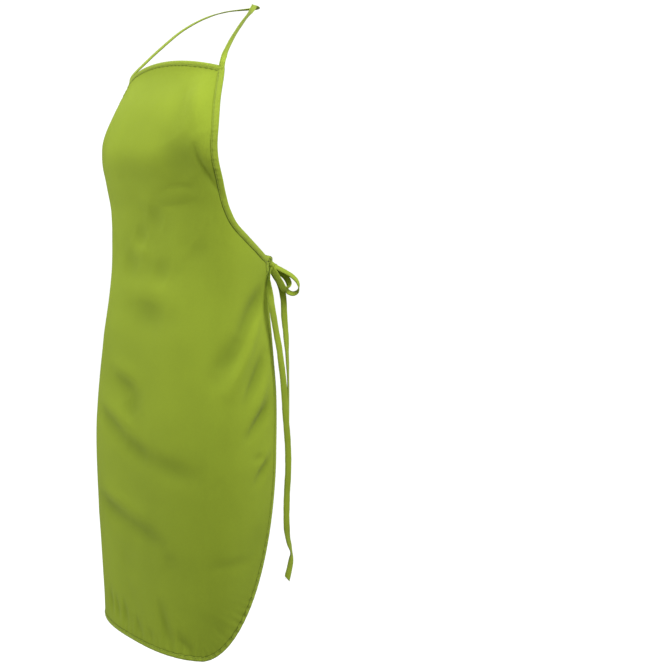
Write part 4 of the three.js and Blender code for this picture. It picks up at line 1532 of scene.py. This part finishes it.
@dataclass(frozen=True)
class Studio:
    """The camera, the lights and the floor, in metres."""

    camera_place: tuple[float, float, float] = (1.2524, -1.0641, -0.29475)
    camera_turn: float = 53.4
    camera_pitch: float = 6.97
    lens: float = 56.79
    shift: float = 0.2254
    floor_level: float = -1.45
    floor_half: float = 40.0
    target: tuple[float, float, float] = (0.0, -0.13, -0.48)

    def place_camera(self) -> None:
        """Places the camera at the photograph's viewing angle."""
        data = bpy.data.cameras.new("camera")
        data.lens = self.lens
        data.sensor_width = 36.0
        data.shift_x = self.shift
        data.clip_end = 100.0
        camera = bpy.data.objects.new("camera", data)
        camera.location = self.camera_place
        camera.rotation_euler = (math.radians(90.0 - self.camera_pitch), 0.0, math.radians(self.camera_turn))
        bpy.context.scene.collection.objects.link(camera)
        bpy.context.scene.camera = camera

    def add_light(self, name: str, place: tuple[float, float, float], size: float, power: float) -> None:
        """Adds a square soft light that looks at the apron.

        Args:
            name: The light's name.
            place: Where it stands.
            size: Its side.
            power: Its power in watts.
        """
        data = bpy.data.lights.new(name, "AREA")
        data.shape = "SQUARE"
        data.size = size
        data.energy = power
        light = bpy.data.objects.new(name, data)
        light.location = place
        away = Vector(place) - Vector(self.target)
        light.rotation_euler = away.to_track_quat("Z", "Y").to_euler()
        bpy.context.scene.collection.objects.link(light)

    def build(self) -> None:
        """Builds the world, the lights and the floor."""
        world = bpy.data.worlds.new("studio_world")
        world.use_nodes = True
        board = NodeBoard(world.node_tree)
        sky = world.node_tree.nodes["Background"]
        seen = board.add("ShaderNodeLightPath").outputs["Is Camera Ray"]
        strength = board.math("MULTIPLY_ADD", seen, 0.7, 0.4)
        world.node_tree.links.new(strength, sky.inputs["Strength"])
        sky.inputs["Color"].default_value = (1.0, 1.0, 1.0, 1.0)
        bpy.context.scene.world = world
        bpy.context.scene.view_settings.view_transform = "Standard"
        self.add_light("key", (-0.5, -1.45, 0.6), 0.7, 18.0)
        self.add_light("side", (1.3, 0.15, 1.0), 1.1, 30.0)
        half, level = self.floor_half / MM, self.floor_level / MM
        corners = [(-half, -half), (half, -half), (half, half), (-half, half)]
        vertices = np.array([(x, y, z) for z in (level - 20.0, level) for x, y in corners])
        faces = [(0, 3, 2, 1), (4, 5, 6, 7), (0, 1, 5, 4), (1, 2, 6, 5), (2, 3, 7, 6), (3, 0, 4, 7)]
        floor = make_piece("studio_floor", vertices, faces, FloorFinish().build())
        floor.data.polygons.foreach_set("use_smooth", np.zeros(len(faces), dtype=bool))


def main() -> None:
    """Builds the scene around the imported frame."""
    logging.basicConfig(level=logging.INFO, format="%(name)s: %(message)s")
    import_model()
    studio = Studio()
    studio.place_camera()
    finishes = Finishes()
    stitcher = Stitcher(finishes.thread)
    form = WornForm(SIZES)
    cut = Cut(SIZES)
    cloth = Cloth(form, cut)
    bow = SideBow(form)
    bow.build_tails(finishes, stitcher)

    panel = Panel(cloth).build(finishes)
    edges = (
        (BoundEdge("top_tape", "bib_top_binding", SIZES.top_binding), cut.top_run),
        (BoundEdge("armhole_tape_left", "armhole_binding_left", SIZES.armhole_binding, start_slim=True), cut.armhole_left),
        (BoundEdge("armhole_tape_right", "armhole_binding_right", SIZES.armhole_binding, end_slim=True), cut.armhole_right),
        (BoundEdge("hem_tape", "skirt_binding", SIZES.hem_binding), cut.skirt_run),
    )
    on_cloth, seams = [], []
    for edge, run in edges:
        on_cloth.append(edge.build(cloth, run, finishes))
        seams += edge.seams(cloth, run)
    on_cloth.append(stitcher.sew("cloth_stitches", seams))
    _, strap_seams = NeckStrap(form).build(finishes)
    stitcher.sew("tape_stitches", strap_seams + bow.build(finishes))
    studio.build()


if __name__ == "__main__":
    main()
